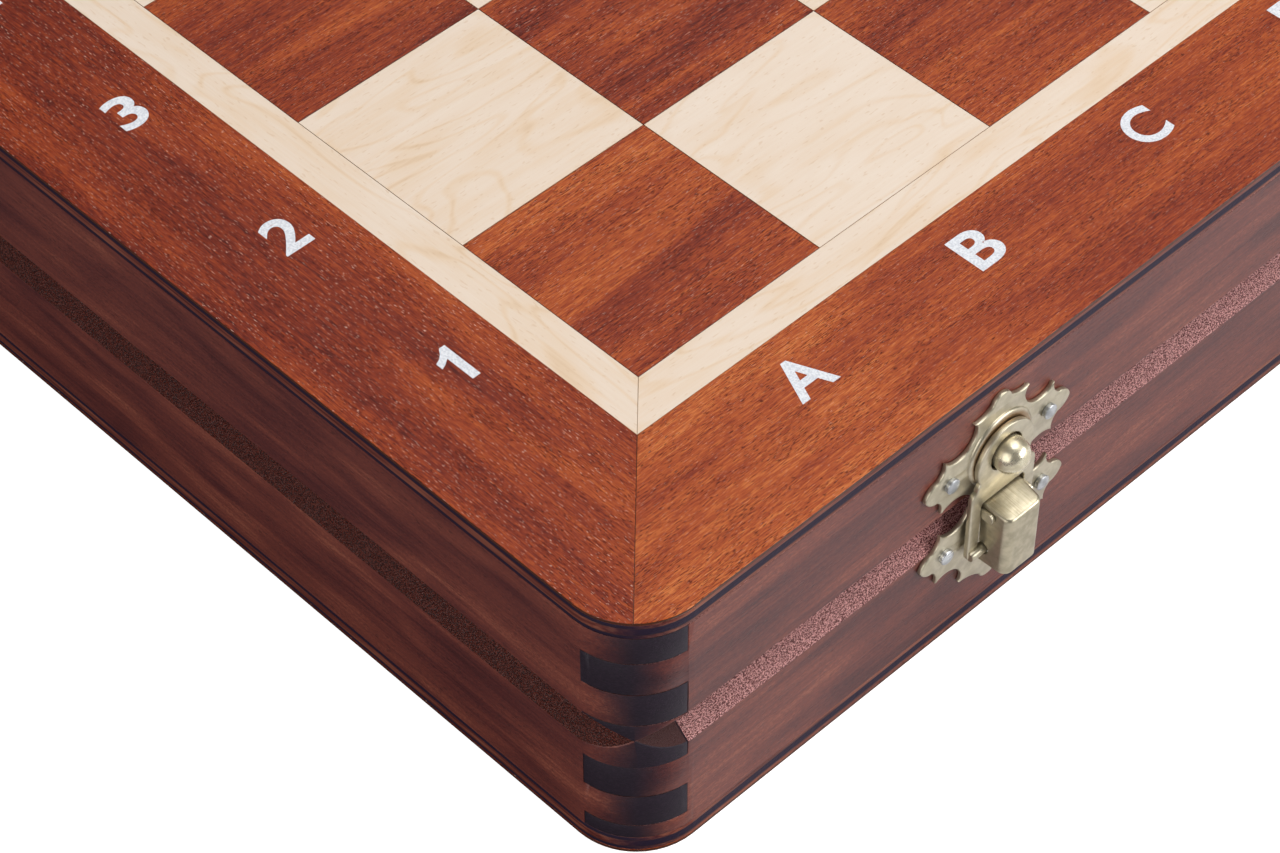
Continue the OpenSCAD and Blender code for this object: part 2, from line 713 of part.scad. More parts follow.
module row_recess(upper, at_files, height, base_d, reach) {
    for (file = at_files)
        translate([row_x(upper, file), row_margin - inner_d / 2, axis_z(base_d)])
            rotate([-90, 0, 0]) recess(height, base_d, reach);
}

// ---------------------------------------------------------------- nodes

front_board(false);  // lower_front_board
back_board(false);  // lower_back_board
side_board(false, -1);  // lower_left_board
side_board(false, 1);  // lower_right_board
plywood_panel(false);  // lower_plywood_panel
squares(false, true);  // lower_dark_squares
squares(false, false);  // lower_light_squares
front_strip(false);  // lower_front_strip
side_strip(false, -1);  // lower_left_strip
side_strip(false, 1);  // lower_right_strip
front_border(false);  // lower_front_border
side_border(false, -1);  // lower_left_border
side_border(false, 1);  // lower_right_border
insert(false);  // lower_insert
front_board(true);  // upper_front_board
back_board(true);  // upper_back_board
side_board(true, -1);  // upper_left_board
side_board(true, 1);  // upper_right_board
plywood_panel(true);  // upper_plywood_panel
squares(true, true);  // upper_dark_squares
squares(true, false);  // upper_light_squares
front_strip(true);  // upper_front_strip
side_strip(true, -1);  // upper_left_strip
side_strip(true, 1);  // upper_right_strip
front_border(true);  // upper_front_border
side_border(true, -1);  // upper_left_border
side_border(true, 1);  // upper_right_border
insert(true);  // upper_insert
kings(false);  // dark_king
queens(false);  // dark_queen
bishops(false);  // dark_bishops
knights(false);  // dark_knights
rooks(false);  // dark_rooks
pawns(false);  // dark_pawns
kings(true);  // light_king
queens(true);  // light_queen
bishops(true);  // light_bishops
knights(true);  // light_knights
rooks(true);  // light_rooks
pawns(true);  // light_pawns
hinge_leaves(false);  // lower_hinge_leaves
hinge_leaves(true);  // upper_hinge_leaves
hinge_pins();
hinge_screws(false);  // lower_hinge_screws
hinge_screws(true);  // upper_hinge_screws
lower_latch_plates();
upper_latch_plates();
ball_studs();
lower_plate_nails();
upper_plate_nails();
lever_pins();
latch_lever(-1);  // left_lever
latch_lever(1);  // right_lever
latch_loop(-1);  // left_loop
latch_loop(1);  // right_loop
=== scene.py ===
"""A folding wooden chess set: a closed case whose two outer faces are the halves of the board."""
import bmesh
import bpy
import math
from mathutils import Matrix, Vector


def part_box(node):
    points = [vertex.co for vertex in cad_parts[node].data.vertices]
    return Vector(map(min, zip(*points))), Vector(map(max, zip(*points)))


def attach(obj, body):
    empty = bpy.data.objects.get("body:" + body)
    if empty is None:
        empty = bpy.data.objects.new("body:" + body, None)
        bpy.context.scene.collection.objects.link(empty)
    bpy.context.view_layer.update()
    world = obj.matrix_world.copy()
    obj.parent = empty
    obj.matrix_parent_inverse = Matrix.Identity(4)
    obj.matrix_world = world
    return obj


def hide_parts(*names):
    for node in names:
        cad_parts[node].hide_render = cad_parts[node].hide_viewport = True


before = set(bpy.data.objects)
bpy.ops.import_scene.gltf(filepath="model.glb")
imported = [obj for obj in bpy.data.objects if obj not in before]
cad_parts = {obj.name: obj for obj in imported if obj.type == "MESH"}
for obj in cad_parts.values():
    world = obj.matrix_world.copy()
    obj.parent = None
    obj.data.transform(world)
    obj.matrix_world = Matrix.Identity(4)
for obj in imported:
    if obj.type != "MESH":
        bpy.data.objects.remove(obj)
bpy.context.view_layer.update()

# ------------------------------------------------------------------ tray boards
# Four solid boards a tray, beech stained dark red-brown, joined at the corners with glued
# fingers. Their rims have a sawn 45 degree bevel, and the ends of the fingers drink the stain.

mm = 0.001
halves = ("lower", "upper")
half_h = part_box("lower_front_board")[1].z
board_edge = 0.14 * mm
arris_angle = math.radians(25)
most_tries = 9
stained_shades = ((48, 14, 18), (88, 38, 36), (122, 60, 48), (170, 100, 76))
stained_pore = (44, 16, 18)
end_grain_shades = ((24, 12, 28), (40, 26, 42))
sawn_end_shade = (64, 22, 20)
# The sawn bevel's colours: dark wood with pale specks painted as glints on the front and back boards, and
# the whole bevel painted darker as shade on the side boards.
sawn_bevel_lit_and_shaded = {"X": ((86, 34, 34), (222, 160, 156)), "Y": ((54, 18, 14), (112, 50, 38))}


def srgb(red, green, blue):
    """A colour as a painter reads it, 0 to 255, made linear."""
    parts = [c / 255 for c in (red, green, blue)]
    return [c / 12.92 if c <= 0.04045 else ((c + 0.055) / 1.055) ** 2.4 for c in parts] + [1.0]


def map_srgb(colours):
    return [srgb(*colour) for colour in colours]


def fill(tree, node, sockets):
    """Gives a node's sockets plain values or the outputs of other nodes."""
    for key, value in sockets.items():
        if isinstance(value, bpy.types.NodeSocket):
            tree.links.new(value, node.inputs[key])
        else:
            node.inputs[key].default_value = value


def put(tree, kind, sockets=None, **settings):
    """Adds a node with these settings, its sockets filled."""
    made = tree.nodes.new(kind)
    for name, value in settings.items():
        setattr(made, name, value)
    fill(tree, made, sockets or {})
    return made


def maths(tree, operation, *values):
    return put(tree, "ShaderNodeMath", dict(enumerate(values)), operation=operation).outputs[0]


def times(tree, a, b):
    return maths(tree, "MULTIPLY", a, b)


def summed(tree, start, *terms):
    """A starting value plus each of the others times its weight."""
    for value, weight in terms:
        start = maths(tree, "MULTIPLY_ADD", value, weight, start)
    return start


def along(tree, vector):
    """The X, Y and Z of a vector."""
    return put(tree, "ShaderNodeSeparateXYZ", {0: vector}).outputs


def from_xyz(tree, *values):
    return put(tree, "ShaderNodeCombineXYZ", dict(enumerate(values))).outputs[0]


def vectors(tree, operation, a, b):
    """Vector maths; a scale takes its number from the socket numbered 3."""
    sockets = {0: a, 3 if operation == "SCALE" else 1: b}
    return put(tree, "ShaderNodeVectorMath", sockets, operation=operation).outputs[0]


def band(tree, value, low, high, at_low=0.0, at_high=1.0):
    """Runs smoothly from at_low to at_high as value goes from low to high."""
    sockets = {"Value": value, "From Min": low, "From Max": high, "To Min": at_low, "To Max": at_high}
    return put(tree, "ShaderNodeMapRange", sockets, interpolation_type="SMOOTHSTEP").outputs[0]


def stained(tree, mask, below, above):
    """The colour below, covered with the colour above where the mask is 1."""
    sockets = {0: mask, 6: below, 7: above}
    return put(tree, "ShaderNodeMix", sockets, data_type="RGBA").outputs[2]


def picked(tree, mask, below, above):
    """The value below, or the value above where the mask is 1."""
    return put(tree, "ShaderNodeMix", {0: mask, 2: below, 3: above}).outputs[0]


def shades(tree, value, colours):
    """Colours spread evenly over the values from 0 to 1."""
    ramp = put(tree, "ShaderNodeValToRGB", {0: value})
    stops = ramp.color_ramp.elements
    while len(stops) < len(colours):
        stops.new(0.5)
    for k, colour in enumerate(colours):
        stops[k].position = k / (len(colours) - 1)
        stops[k].color = srgb(*colour)
    return ramp.outputs[0]


def noise(tree, vector, detail, distortion=0.0):
    sockets = {"Vector": vector, "Scale": 1.0, "Detail": detail, "Distortion": distortion}
    return put(tree, "ShaderNodeTexNoise", sockets).outputs[0]


def patches(tree, place, size, detail=2.0, distortion=0.0):
    """Noise with patches of about this size in millimetres along X, Y and Z."""
    scaled = put(tree, "ShaderNodeMapping", {"Vector": place, "Scale": [1 / (s * mm) for s in size]})
    return noise(tree, scaled.outputs[0], detail, distortion)


def new_finish(name):
    """A new material, with its nodes and the place and facing of the surface."""
    made = bpy.data.materials.new(name)
    made.use_nodes = True
    where = put(made.node_tree, "ShaderNodeTexCoord").outputs
    return made, made.node_tree, where["Object"], where["Normal"]


def dress(tree, colour, rough, relief=None, depth=0.0, **steady):
    """Feeds the shader its colour, its roughness, a relief this many millimetres deep, and values
    that are the same all over, under the sockets' names with _ for a space."""
    sockets = {"Base Color": colour, "Roughness": rough}
    if relief:
        bump = put(tree, "ShaderNodeBump", {"Height": relief, "Distance": depth * mm})
        sockets["Normal"] = bump.outputs[0]
    for name, value in steady.items():
        sockets[name.replace("_", " ")] = value
    fill(tree, tree.nodes["Principled BSDF"], sockets)


def new_group(name, settings, outputs):
    """A node group that takes a place and these settings, and puts out these values."""
    tree = bpy.data.node_groups.new(name, "ShaderNodeTree")
    tree.interface.new_socket("Place", in_out="INPUT", socket_type="NodeSocketVector")
    for label, value in settings.items():
        socket = tree.interface.new_socket(label, in_out="INPUT", socket_type="NodeSocketFloat")
        socket.default_value = value
    for label in outputs:
        tree.interface.new_socket(label, in_out="OUTPUT", socket_type="NodeSocketFloat")
    return tree, put(tree, "NodeGroupInput").outputs


def grain_group():
    """Wood grain along X: wide ribbons, fine streaks, short open pores and small specks for painted glints.
    """
    settings = {"Ribbon width": 6.0, "Pore length": 1.6, "Pore width": 0.2, "Pore share": 0.5}
    tree, given = new_group("wood_grain", settings, ["Ribbon", "Streak", "Pores", "Flecks"])
    in_mm = vectors(tree, "SCALE", given["Place"], 1 / mm)
    width, pore = given["Ribbon width"], given["Pore width"]

    def figure(size, detail, distortion=0.0):
        return noise(tree, vectors(tree, "DIVIDE", in_mm, size), detail, distortion)

    ribbon = figure(from_xyz(tree, times(tree, width, 8.0), width, width), 2.0, 0.5)
    streak = figure((14.0, 0.5, 0.5), 3.0, 0.15)
    pores = figure(from_xyz(tree, given["Pore length"], pore, pore), 0.0)
    crowd = times(tree, figure((9.0, 2.4, 2.4), 1.0), 0.8)
    flecks = figure((0.8, 0.12, 0.12), 0.0)
    edge = maths(tree, "SUBTRACT", 0.83, times(tree, given["Pore share"], crowd))
    open_pores = times(tree, maths(tree, "SUBTRACT", pores, edge), 9.0)
    put(tree, "NodeGroupOutput", {
        "Ribbon": band(tree, ribbon, 0.25, 0.75),
        "Streak": band(tree, streak, 0.25, 0.75),
        "Pores": maths(tree, "MINIMUM", maths(tree, "MAXIMUM", open_pores, 0.0), 1.0),
        "Flecks": band(tree, flecks, 0.72, 0.82)})
    return tree


grain = grain_group()


def grain_of(tree, place, ribbon, pore_length, pore_width, pore_share=0.5):
    """The wood grain at a place, with its widths and lengths in millimetres."""
    sockets = {"Place": place, "Ribbon width": ribbon, "Pore length": pore_length,
               "Pore width": pore_width, "Pore share": pore_share}
    return put(tree, "ShaderNodeGroup", sockets, node_tree=grain).outputs


def turned_place(tree, place, axis):
    """The place with the wood's long way, X or Y, brought onto X."""
    if axis == "X":
        return place
    x, y, z = along(tree, place)
    return from_xyz(tree, y, x, z)


def facing(tree, normal, axis):
    """How squarely the surface faces along an axis, from 0 to 1."""
    return maths(tree, "ABSOLUTE", along(tree, normal)[axis])


def board_finish(axis):
    """Dark red-brown stain: cloudy long grain, nearly black ends, and a crumbly sawn bevel with pale glints
    painted on the front and back boards and painted shade on the side boards.
    """
    made, tree, place, normal = new_finish("stained_board_" + axis.lower())
    turned = turned_place(tree, place, axis)
    wood = grain_of(tree, turned, 5.0, 1.1, 0.16, 0.42)
    cloudy = patches(tree, turned, (30, 7, 7), 3.0, 0.6)
    fuzz = patches(tree, turned, (0.5, 0.2, 0.2), 3.0)
    tone = summed(tree, 0.0, (wood["Ribbon"], 0.28), (wood["Streak"], 0.2),
                  (band(tree, cloudy, 0.3, 0.7), 0.3), (band(tree, fuzz, 0.3, 0.7), 0.22))
    colour = shades(tree, tone, stained_shades)
    colour = stained(tree, times(tree, wood["Pores"], 0.45), colour, srgb(*stained_pore))
    ends = band(tree, facing(tree, normal, "XY".index(axis)), 0.2, 0.75)
    end_lines = band(tree, patches(tree, place, (0.5, 0.5, 0.16)), 0.35, 0.7)
    colour = stained(tree, ends, colour, stained(tree, end_lines, *map_srgb(end_grain_shades)))
    up = facing(tree, normal, 2)
    bevel = times(tree, band(tree, up, 0.55, 0.68), band(tree, up, 0.74, 0.85, 1.0, 0.0))
    crumbs = patches(tree, turned, (0.24, 0.13, 0.13))
    # Painted light: pale crumbs as glints on the front and back boards, a darker bevel as shade on the
    # sides.
    sawn = stained(tree, band(tree, crumbs, 0.4, 0.62), *map_srgb(sawn_bevel_lit_and_shaded[axis]))
    sawn = stained(tree, ends, sawn, srgb(*sawn_end_shade))
    clean = times(tree, bevel, maths(tree, "SUBTRACT", 1.0, ends))
    relief = summed(tree, 0.0, (times(tree, crumbs, bevel), 3.2), (wood["Pores"], -0.25),
                    (wood["Streak"], 0.12))
    dress(tree, stained(tree, bevel, colour, sawn),
          summed(tree, 0.4, (ends, 0.2), (clean, -0.14)), relief, 0.09)
    return made


def in_scene(name, data):
    """A new object in the scene."""
    made = bpy.data.objects.new(name, data)
    bpy.context.scene.collection.objects.link(made)
    return made


def add_piece(name, mesh, finish, body, slot, *nodes):
    """Puts a finished mesh in the scene, on its body, in place of the nodes it stands for."""
    piece = in_scene(name, mesh)
    if finish is not None:
        mesh.materials.clear()
        mesh.materials.append(finish)
    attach(piece, body)
    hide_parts(*nodes)


def mesh_of(shape, name):
    """The plain mesh of a shape that is finished."""
    mesh = bpy.data.meshes.new(name)
    shape.to_mesh(mesh)
    shape.free()
    return mesh


def folded(shape):
    """The faces that cross themselves, whose triangles cover more than the face does."""
    covered = {}
    for loops in shape.calc_loop_triangles():
        a, b, c = (loop.vert.co for loop in loops)
        face = loops[0].face
        covered[face] = covered.get(face, 0.0) + (b - a).cross(c - a).length / 2
    return [face for face, area in covered.items()
            if abs(area - face.calc_area()) > 0.02 * mm * mm + 0.005 * area]


def eased(node, name, width, segments=2, wide=None, wide_width=0.0, gentle=12.0):
    """A copy of a node's shape with its triangles joined into faces and its edges eased.

    Where two eased edges would run into each other, they are left sharp, and it starts again."""
    left_sharp = set()
    for attempt in range(most_tries):
        shape = bmesh.new()
        shape.from_mesh(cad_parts[node].data)
        bmesh.ops.remove_doubles(shape, verts=shape.verts, dist=1e-6)
        bmesh.ops.dissolve_limit(shape, angle_limit=math.radians(0.5), verts=shape.verts, edges=shape.edges)
        rounded = set()
        if attempt == most_tries - 1:
            break

        def ends(edge):
            return tuple(sorted(tuple(round(c / mm, 3) for c in v.co) for v in edge.verts))

        def sharp(edge):
            return (len(edge.link_faces) == 2 and edge.calc_face_angle(0.0) > arris_angle
                    and edge.calc_length() > 2.2 * width and ends(edge) not in left_sharp)

        beds = []
        if wide:
            chosen = [e for e in shape.edges if sharp(e) and wide(e)]
            beds += [ends(e) for e in chosen]
            cut = bmesh.ops.bevel(shape, geom=chosen, offset=wide_width, segments=4, profile=0.5,
                                  affect="EDGES", clamp_overlap=False)
            rounded |= set(cut["faces"])
        chosen = [e for e in shape.edges if sharp(e) and not (wide and set(e.link_faces) & rounded)]
        beds += [ends(e) for e in chosen]
        cut = bmesh.ops.bevel(shape, geom=chosen, offset=width, segments=segments, profile=0.5,
                              affect="EDGES", clamp_overlap=False)
        rounded = {f for f in rounded if f.is_valid} | set(cut["faces"])
        faults = folded(shape)
        if not faults:
            break
        small = [f for f in faults if len(f.verts) < 6] or faults
        reach = (3 + attempt) * width / mm
        corners = [v.co / mm for f in small for v in f.verts]
        near = {end for bed in beds for end in bed
                if any((Vector(end) - c).length < reach for c in corners)}
        left_sharp |= {bed for bed in beds if bed[0] in near and bed[1] in near}
        if attempt > 3:
            left_sharp |= {bed for bed in beds if bed[0] in near or bed[1] in near}
        shape.free()
    for face in shape.faces:
        curved = any(len(e.link_faces) == 2 and math.radians(1) < e.calc_face_angle(0.0) < arris_angle
                     for e in face.edges)
        face.smooth = face in rounded or (curved and face.calc_area() < gentle * mm * mm)
    return mesh_of(shape, name)


board_finishes = {axis: board_finish(axis) for axis in "XY"}
for half in halves:
    for side in ("front", "back", "left", "right"):
        node = f"{half}_{side}_board"
        axis = "X" if side in ("front", "back") else "Y"
        add_piece(node + "_wood", eased(node, node, board_edge), board_finishes[axis],
                  half + "_half", "stained_frame", node)

# ------------------------------------------------------------------ plywood panels
# A three-ply panel glued over each tray. The outer plies run along X and the core along Y, so
# the front shows a dark end-grain core, and the sides two dark lines with a light core between.

panel_low, panel_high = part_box("lower_plywood_panel")
veneer_t = panel_low.z
ply_t = panel_high.z - panel_low.z
side_x = panel_high.x
front_y = panel_low.y
case_h = 2 * half_h
ply_edge = 0.08 * mm
ply_shades = ((80, 30, 26), (116, 58, 46), (142, 84, 64))
ply_end_shade = (34, 20, 44)
ply_glue_shade = (60, 34, 32)
wood_gloss = 0.3


def distance(tree, value, point):
    return maths(tree, "ABSOLUTE", maths(tree, "SUBTRACT", value, point))


def plywood_finish():
    """Three plies told apart by height: the core shows its ends where the others show their sides."""
    made, tree, place, normal = new_finish("stained_plywood")
    height = along(tree, place)[2]
    depth = maths(tree, "MINIMUM", height, maths(tree, "SUBTRACT", case_h, height))
    off_middle = distance(tree, depth, veneer_t + ply_t / 2)
    core = maths(tree, "LESS_THAN", off_middle, ply_t / 4)
    outer, crosswise = (grain_of(tree, turned_place(tree, place, axis), 2.0, 1.2, 0.12)["Streak"]
                        for axis in "XY")
    tone = picked(tree, core, outer, crosswise)
    ends = band(tree, picked(tree, core, facing(tree, normal, 0), facing(tree, normal, 1)), 0.25, 0.8)
    colour = stained(tree, ends, shades(tree, tone, ply_shades), srgb(*ply_end_shade))
    glue = band(tree, distance(tree, off_middle, ply_t / 4), 0.03 * mm, 0.09 * mm, 1.0, 0.0)
    colour = stained(tree, times(tree, glue, 0.6), colour, srgb(*ply_glue_shade))
    dress(tree, colour, summed(tree, 0.4, (ends, 0.2)), maths(tree, "SUBTRACT", tone, glue), 0.03,
          Specular_IOR_Level=wood_gloss)
    return made


plywood = plywood_finish()
for half in halves:
    node = half + "_plywood_panel"
    add_piece(node + "_wood", eased(node, node, ply_edge), plywood, half + "_half", "plywood", node)

# ------------------------------------------------------------------ squares
# Thirty-two squares a half, sliced from mahogany and maple veneer 0.6 mm thick and glued side
# by side. Each is a cut from another leaf, so its figure and tone differ from its neighbours'.

files, ranks = 8, 4
field_low = Vector(map(min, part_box("upper_dark_squares")[0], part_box("upper_light_squares")[0]))
field_high = Vector(map(max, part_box("upper_dark_squares")[1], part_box("upper_light_squares")[1]))
veneer_gap = 0.05 * mm
square_w = (field_high.x - field_low.x + veneer_gap) / files
field_x = field_low.x - veneer_gap / 2
field_y = field_low.y - veneer_gap / 2
veneer_edge = 0.045 * mm
mahogany_shades = ((74, 10, 0), (117, 33, 6), (151, 58, 17), (180, 84, 30), (210, 121, 60))
maple_shades = ((221, 189, 153), (233, 207, 179), (236, 216, 196), (239, 222, 205))
glue_line = (78, 40, 24)
# The second colour is a painted glint, put on the mahogany's small specks.
mahogany_pore, mahogany_glint = (72, 14, 4), (240, 196, 176)
maple_ray, maple_edge = (214, 178, 138), (150, 112, 78)
seam_facing = (0.8, 0.97)


def own_leaf(tree, place, spread):
    """A random offset for each square, and a random tone up to the spread lighter or darker."""
    x, y, z = along(tree, place)
    column, row = (maths(tree, "FLOOR", maths(tree, "DIVIDE", maths(tree, "SUBTRACT", way, first), square_w))
                   for way, first in ((x, field_x), (y, field_y)))
    which = from_xyz(tree, column, row, maths(tree, "GREATER_THAN", z, half_h))
    chance = put(tree, "ShaderNodeTexWhiteNoise", {0: which}, noise_dimensions="3D").outputs
    moved = vectors(tree, "ADD", place, vectors(tree, "SCALE", chance["Color"], 2.0))
    return moved, band(tree, chance["Value"], 0.0, 1.0, -spread, spread)


def seamed(tree, normal, colour, seam_colour, facings=seam_facing):
    """The colour, with the colour of the seam where the surface no longer faces up or down."""
    edge = band(tree, facing(tree, normal, 2), *facings, 1.0, 0.0)
    return stained(tree, edge, colour, srgb(*seam_colour))


def mahogany_coat(tree, place, tone_shift, ribbon=7.0, glint_share=0.35):
    """Open-pored mahogany under satin lacquer, with its grain along X and pale specks painted as glints;
    puts out its colour.
    """
    wood = grain_of(tree, place, ribbon, 0.85, 0.13)
    fine = patches(tree, place, (2.0, 0.18, 0.18))
    tone = summed(tree, tone_shift, (wood["Ribbon"], 0.4), (wood["Streak"], 0.26),
                  (band(tree, fine, 0.28, 0.72), 0.34))
    colour = shades(tree, tone, mahogany_shades)
    colour = stained(tree, times(tree, wood["Pores"], 0.74), colour, srgb(*mahogany_pore))
    # Pale specks painted as glints; the same specks are also made a little glossier.
    colour = stained(tree, times(tree, wood["Flecks"], glint_share), colour, srgb(*mahogany_glint))
    rough = summed(tree, 0.36, (wood["Pores"], 0.25), (wood["Flecks"], -0.16))
    relief = summed(tree, 0.0, (fine, 0.35), (wood["Pores"], -0.8))
    dress(tree, colour, rough, relief, 0.035, Specular_IOR_Level=wood_gloss)
    return colour


def maple_coat(tree, place, tone_shift, ring=7.0):
    """Pale maple, nearly white, with faint warm rings and tiny ray flecks; puts out its colour."""
    streak = grain_of(tree, place, 9.0, 1.0, 0.14, 0.3)["Streak"]
    swirl = patches(tree, place, (46, 13, 13), 1.5, 0.9)
    rings = summed(tree, maths(tree, "DIVIDE", along(tree, place)[1], ring * mm), (swirl, 7.0))
    line = band(tree, distance(tree, maths(tree, "FRACT", rings), 0.5), 0.3, 0.5)
    soft = patches(tree, place, (16, 5, 5))
    tone = summed(tree, tone_shift, (band(tree, soft, 0.3, 0.7), 0.3), (streak, 0.2), (line, -0.3))
    colour = shades(tree, maths(tree, "ADD", tone, 0.46), maple_shades)
    rays = patches(tree, place, (1.2, 0.3, 0.3), 0.0)
    colour = stained(tree, band(tree, rays, 0.7, 0.8, 0.0, 0.35), colour, srgb(*maple_ray))
    dress(tree, colour, band(tree, streak, 0.0, 1.0, 0.34, 0.42), streak, 0.012,
          Specular_IOR_Level=wood_gloss)
    return colour


def squares_finish(name, coat, spread, seam_colour):
    """The wood of the squares, each a leaf of its own, with the seam round every square."""
    made, tree, place, normal = new_finish(name)
    colour = coat(tree, *own_leaf(tree, place, spread))
    repaint(tree, seamed(tree, normal, colour, seam_colour))
    return made


def repaint(tree, colour):
    fill(tree, tree.nodes["Principled BSDF"], {"Base Color": colour})


def growing_tree(name, output, **inputs):
    """A geometry node tree with these inputs, named with _ for a space, and their kinds."""
    tree = bpy.data.node_groups.new(name, "GeometryNodeTree")
    for label, kind in inputs.items():
        tree.interface.new_socket(label.replace("_", " "), in_out="INPUT", socket_type="NodeSocket" + kind)
    tree.interface.new_socket(output, in_out="OUTPUT", socket_type="NodeSocketGeometry")
    return tree, put(tree, "NodeGroupInput").outputs


def copies(tree, points, pattern, **sockets):
    """The pattern on every point."""
    sockets.update({"Points": points, "Instance": pattern})
    return put(tree, "GeometryNodeInstanceOnPoints", sockets).outputs[0]


def shape_of(tree, thing):
    return put(tree, "GeometryNodeObjectInfo", {"Object": thing}).outputs["Geometry"]


def moved_to(tree, geometry, place):
    return put(tree, "GeometryNodeTransform", {"Geometry": geometry, "Translation": place}).outputs[0]


def handed_out(tree, output, geometry, finish):
    """Ends a tree: its copies made real and given their finish."""
    real = put(tree, "GeometryNodeRealizeInstances", {"Geometry": geometry}).outputs[0]
    coated = put(tree, "GeometryNodeSetMaterial", {"Geometry": real, "Material": finish}).outputs[0]
    put(tree, "NodeGroupOutput", {output: coated})
    return tree


def square_grid():
    """Geometry nodes: a tile on every second point of a grid of squares."""
    tree, given = growing_tree("squares", "Squares", Tile="Object", Pitch="Float", Files="Int",
                               Ranks="Int", First="Int", Middle="Vector", Finish="Material")
    size_x, size_y = (times(tree, given["Pitch"], maths(tree, "SUBTRACT", given[count], 1.0))
                      for count in ("Files", "Ranks"))
    grid = put(tree, "GeometryNodeMeshGrid", {
        "Size X": size_x, "Size Y": size_y, "Vertices X": given["Files"], "Vertices Y": given["Ranks"]})
    index = put(tree, "GeometryNodeInputIndex").outputs[0]
    column = maths(tree, "FLOOR", maths(tree, "DIVIDE", index, given["Ranks"]))
    row = maths(tree, "SUBTRACT", index, times(tree, column, given["Ranks"]))
    parity = maths(tree, "MODULO", maths(tree, "ADD", maths(tree, "ADD", column, row), given["First"]), 2.0)
    every_second = put(tree, "FunctionNodeCompare", {0: parity, 1: 0.5}, operation="LESS_THAN").outputs[0]
    tiles = copies(tree, grid.outputs["Mesh"], shape_of(tree, given["Tile"]), Selection=every_second)
    return handed_out(tree, "Squares", moved_to(tree, tiles, given["Middle"]), given["Finish"])


def grown(name, tree, values):
    """The plain mesh that a geometry node tree makes with these values."""
    host = in_scene(name, bpy.data.meshes.new(name))
    modifier = host.modifiers.new(tree.name, "NODES")
    modifier.node_group = tree
    for item in tree.interface.items_tree:
        if item.item_type == "SOCKET" and item.in_out == "INPUT" and item.name in values:
            modifier[item.identifier] = values[item.name]
    return baked(host)


def baked(host):
    """The mesh of an object with its modifiers applied; the object itself is removed."""
    graph = bpy.context.evaluated_depsgraph_get()
    mesh = bpy.data.meshes.new_from_object(host.evaluated_get(graph))
    mesh.name = host.name
    bpy.data.objects.remove(host)
    return mesh


def eased_block(name, size, width, segments=1):
    """A block of this size round the origin with eased edges, as a loose template."""
    shape = bmesh.new()
    bmesh.ops.create_cube(shape, size=1.0, matrix=Matrix.Diagonal((*size, 1.0)))
    cut = bmesh.ops.bevel(shape, geom=shape.edges[:], offset=width, segments=segments, profile=0.5,
                          affect="EDGES")
    for face in cut["faces"]:
        face.smooth = segments > 1
    return mesh_of(shape, name)


def template(mesh):
    """A passing object whose shape is copied or worked on, and that is then removed."""
    return in_scene(mesh.name, mesh)


tile_size = (square_w - veneer_gap, square_w - veneer_gap, veneer_t)
tile = template(eased_block("tile", tile_size, veneer_edge))
square_tree = square_grid()
square_finishes = {"dark": squares_finish("mahogany_squares", mahogany_coat, 0.07, glue_line),
                   "light": squares_finish("maple_squares", maple_coat, 0.08, maple_edge)}
for half in halves:
    for shade in ("dark", "light"):
        node = f"{half}_{shade}_squares"
        low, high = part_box(node)
        values = {
            "Tile": tile, "Pitch": square_w, "Files": files, "Ranks": ranks,
            "First": int((half == "upper") != (shade == "dark")),
            "Middle": (0.0, field_y + ranks * square_w / 2, (low.z + high.z) / 2),
            "Finish": square_finishes[shade]}
        slot = "mahogany_veneer" if shade == "dark" else "maple_veneer"
        add_piece(node + "_veneer", grown(node, square_tree, values), None, half + "_half", slot, node)
bpy.data.objects.remove(tile)

# ------------------------------------------------------------------ light strip
# A maple strip 7.4 mm wide frames the squares on three sides, mitred at the corners, its
# grain running along its own length.


def maple_strip_finish(axis):
    made, tree, place, normal = new_finish("maple_strip_" + axis.lower())
    colour = maple_coat(tree, turned_place(tree, place, axis), -0.05, ring=11.0)
    repaint(tree, seamed(tree, normal, colour, maple_edge))
    return made


strip_finishes = {axis: maple_strip_finish(axis) for axis in "XY"}
for half in halves:
    for side in ("front", "left", "right"):
        node = f"{half}_{side}_strip"
        axis = "X" if side == "front" else "Y"
        add_piece(node + "_veneer", eased(node, node, veneer_edge, 1), strip_finishes[axis],
                  half + "_half", "maple_strip", node)

# ------------------------------------------------------------------ dark border
# A mahogany border 26 mm wide outside the strip, mitred at the two front corners. Its outer
# arris is rounded over. The front border is painted lighter and the sides darker with more painted glints.

print_depth = 0.015 * mm
border_round = 0.42 * mm


def border_finish(axis):
    """The border's mahogany, painted lighter along the front and darker at the sides as lit and shaded
    copies, with more painted glints at the sides, and its mitre lines.
    """
    made, tree, place, normal = new_finish("mahogany_border_" + axis.lower())
    # Painted light: the front border is shifted lighter, and the sides darker with more painted glints.
    painted_light_shift, glint_share = (0.12, 0.3) if axis == "X" else (-0.07, 0.7)
    colour = mahogany_coat(tree, turned_place(tree, place, axis), painted_light_shift, 9.0, glint_share)
    colour = seamed(tree, normal, colour, glue_line, (0.25, 0.5))
    x, y = along(tree, place)[:2]
    from_side = maths(tree, "SUBTRACT", side_x, maths(tree, "ABSOLUTE", x))
    from_mitre = distance(tree, from_side, maths(tree, "SUBTRACT", y, front_y))
    line = band(tree, from_mitre, 0.05 * mm, 0.13 * mm, 0.85, 0.0)
    repaint(tree, stained(tree, line, colour, srgb(*glue_line)))
    return made


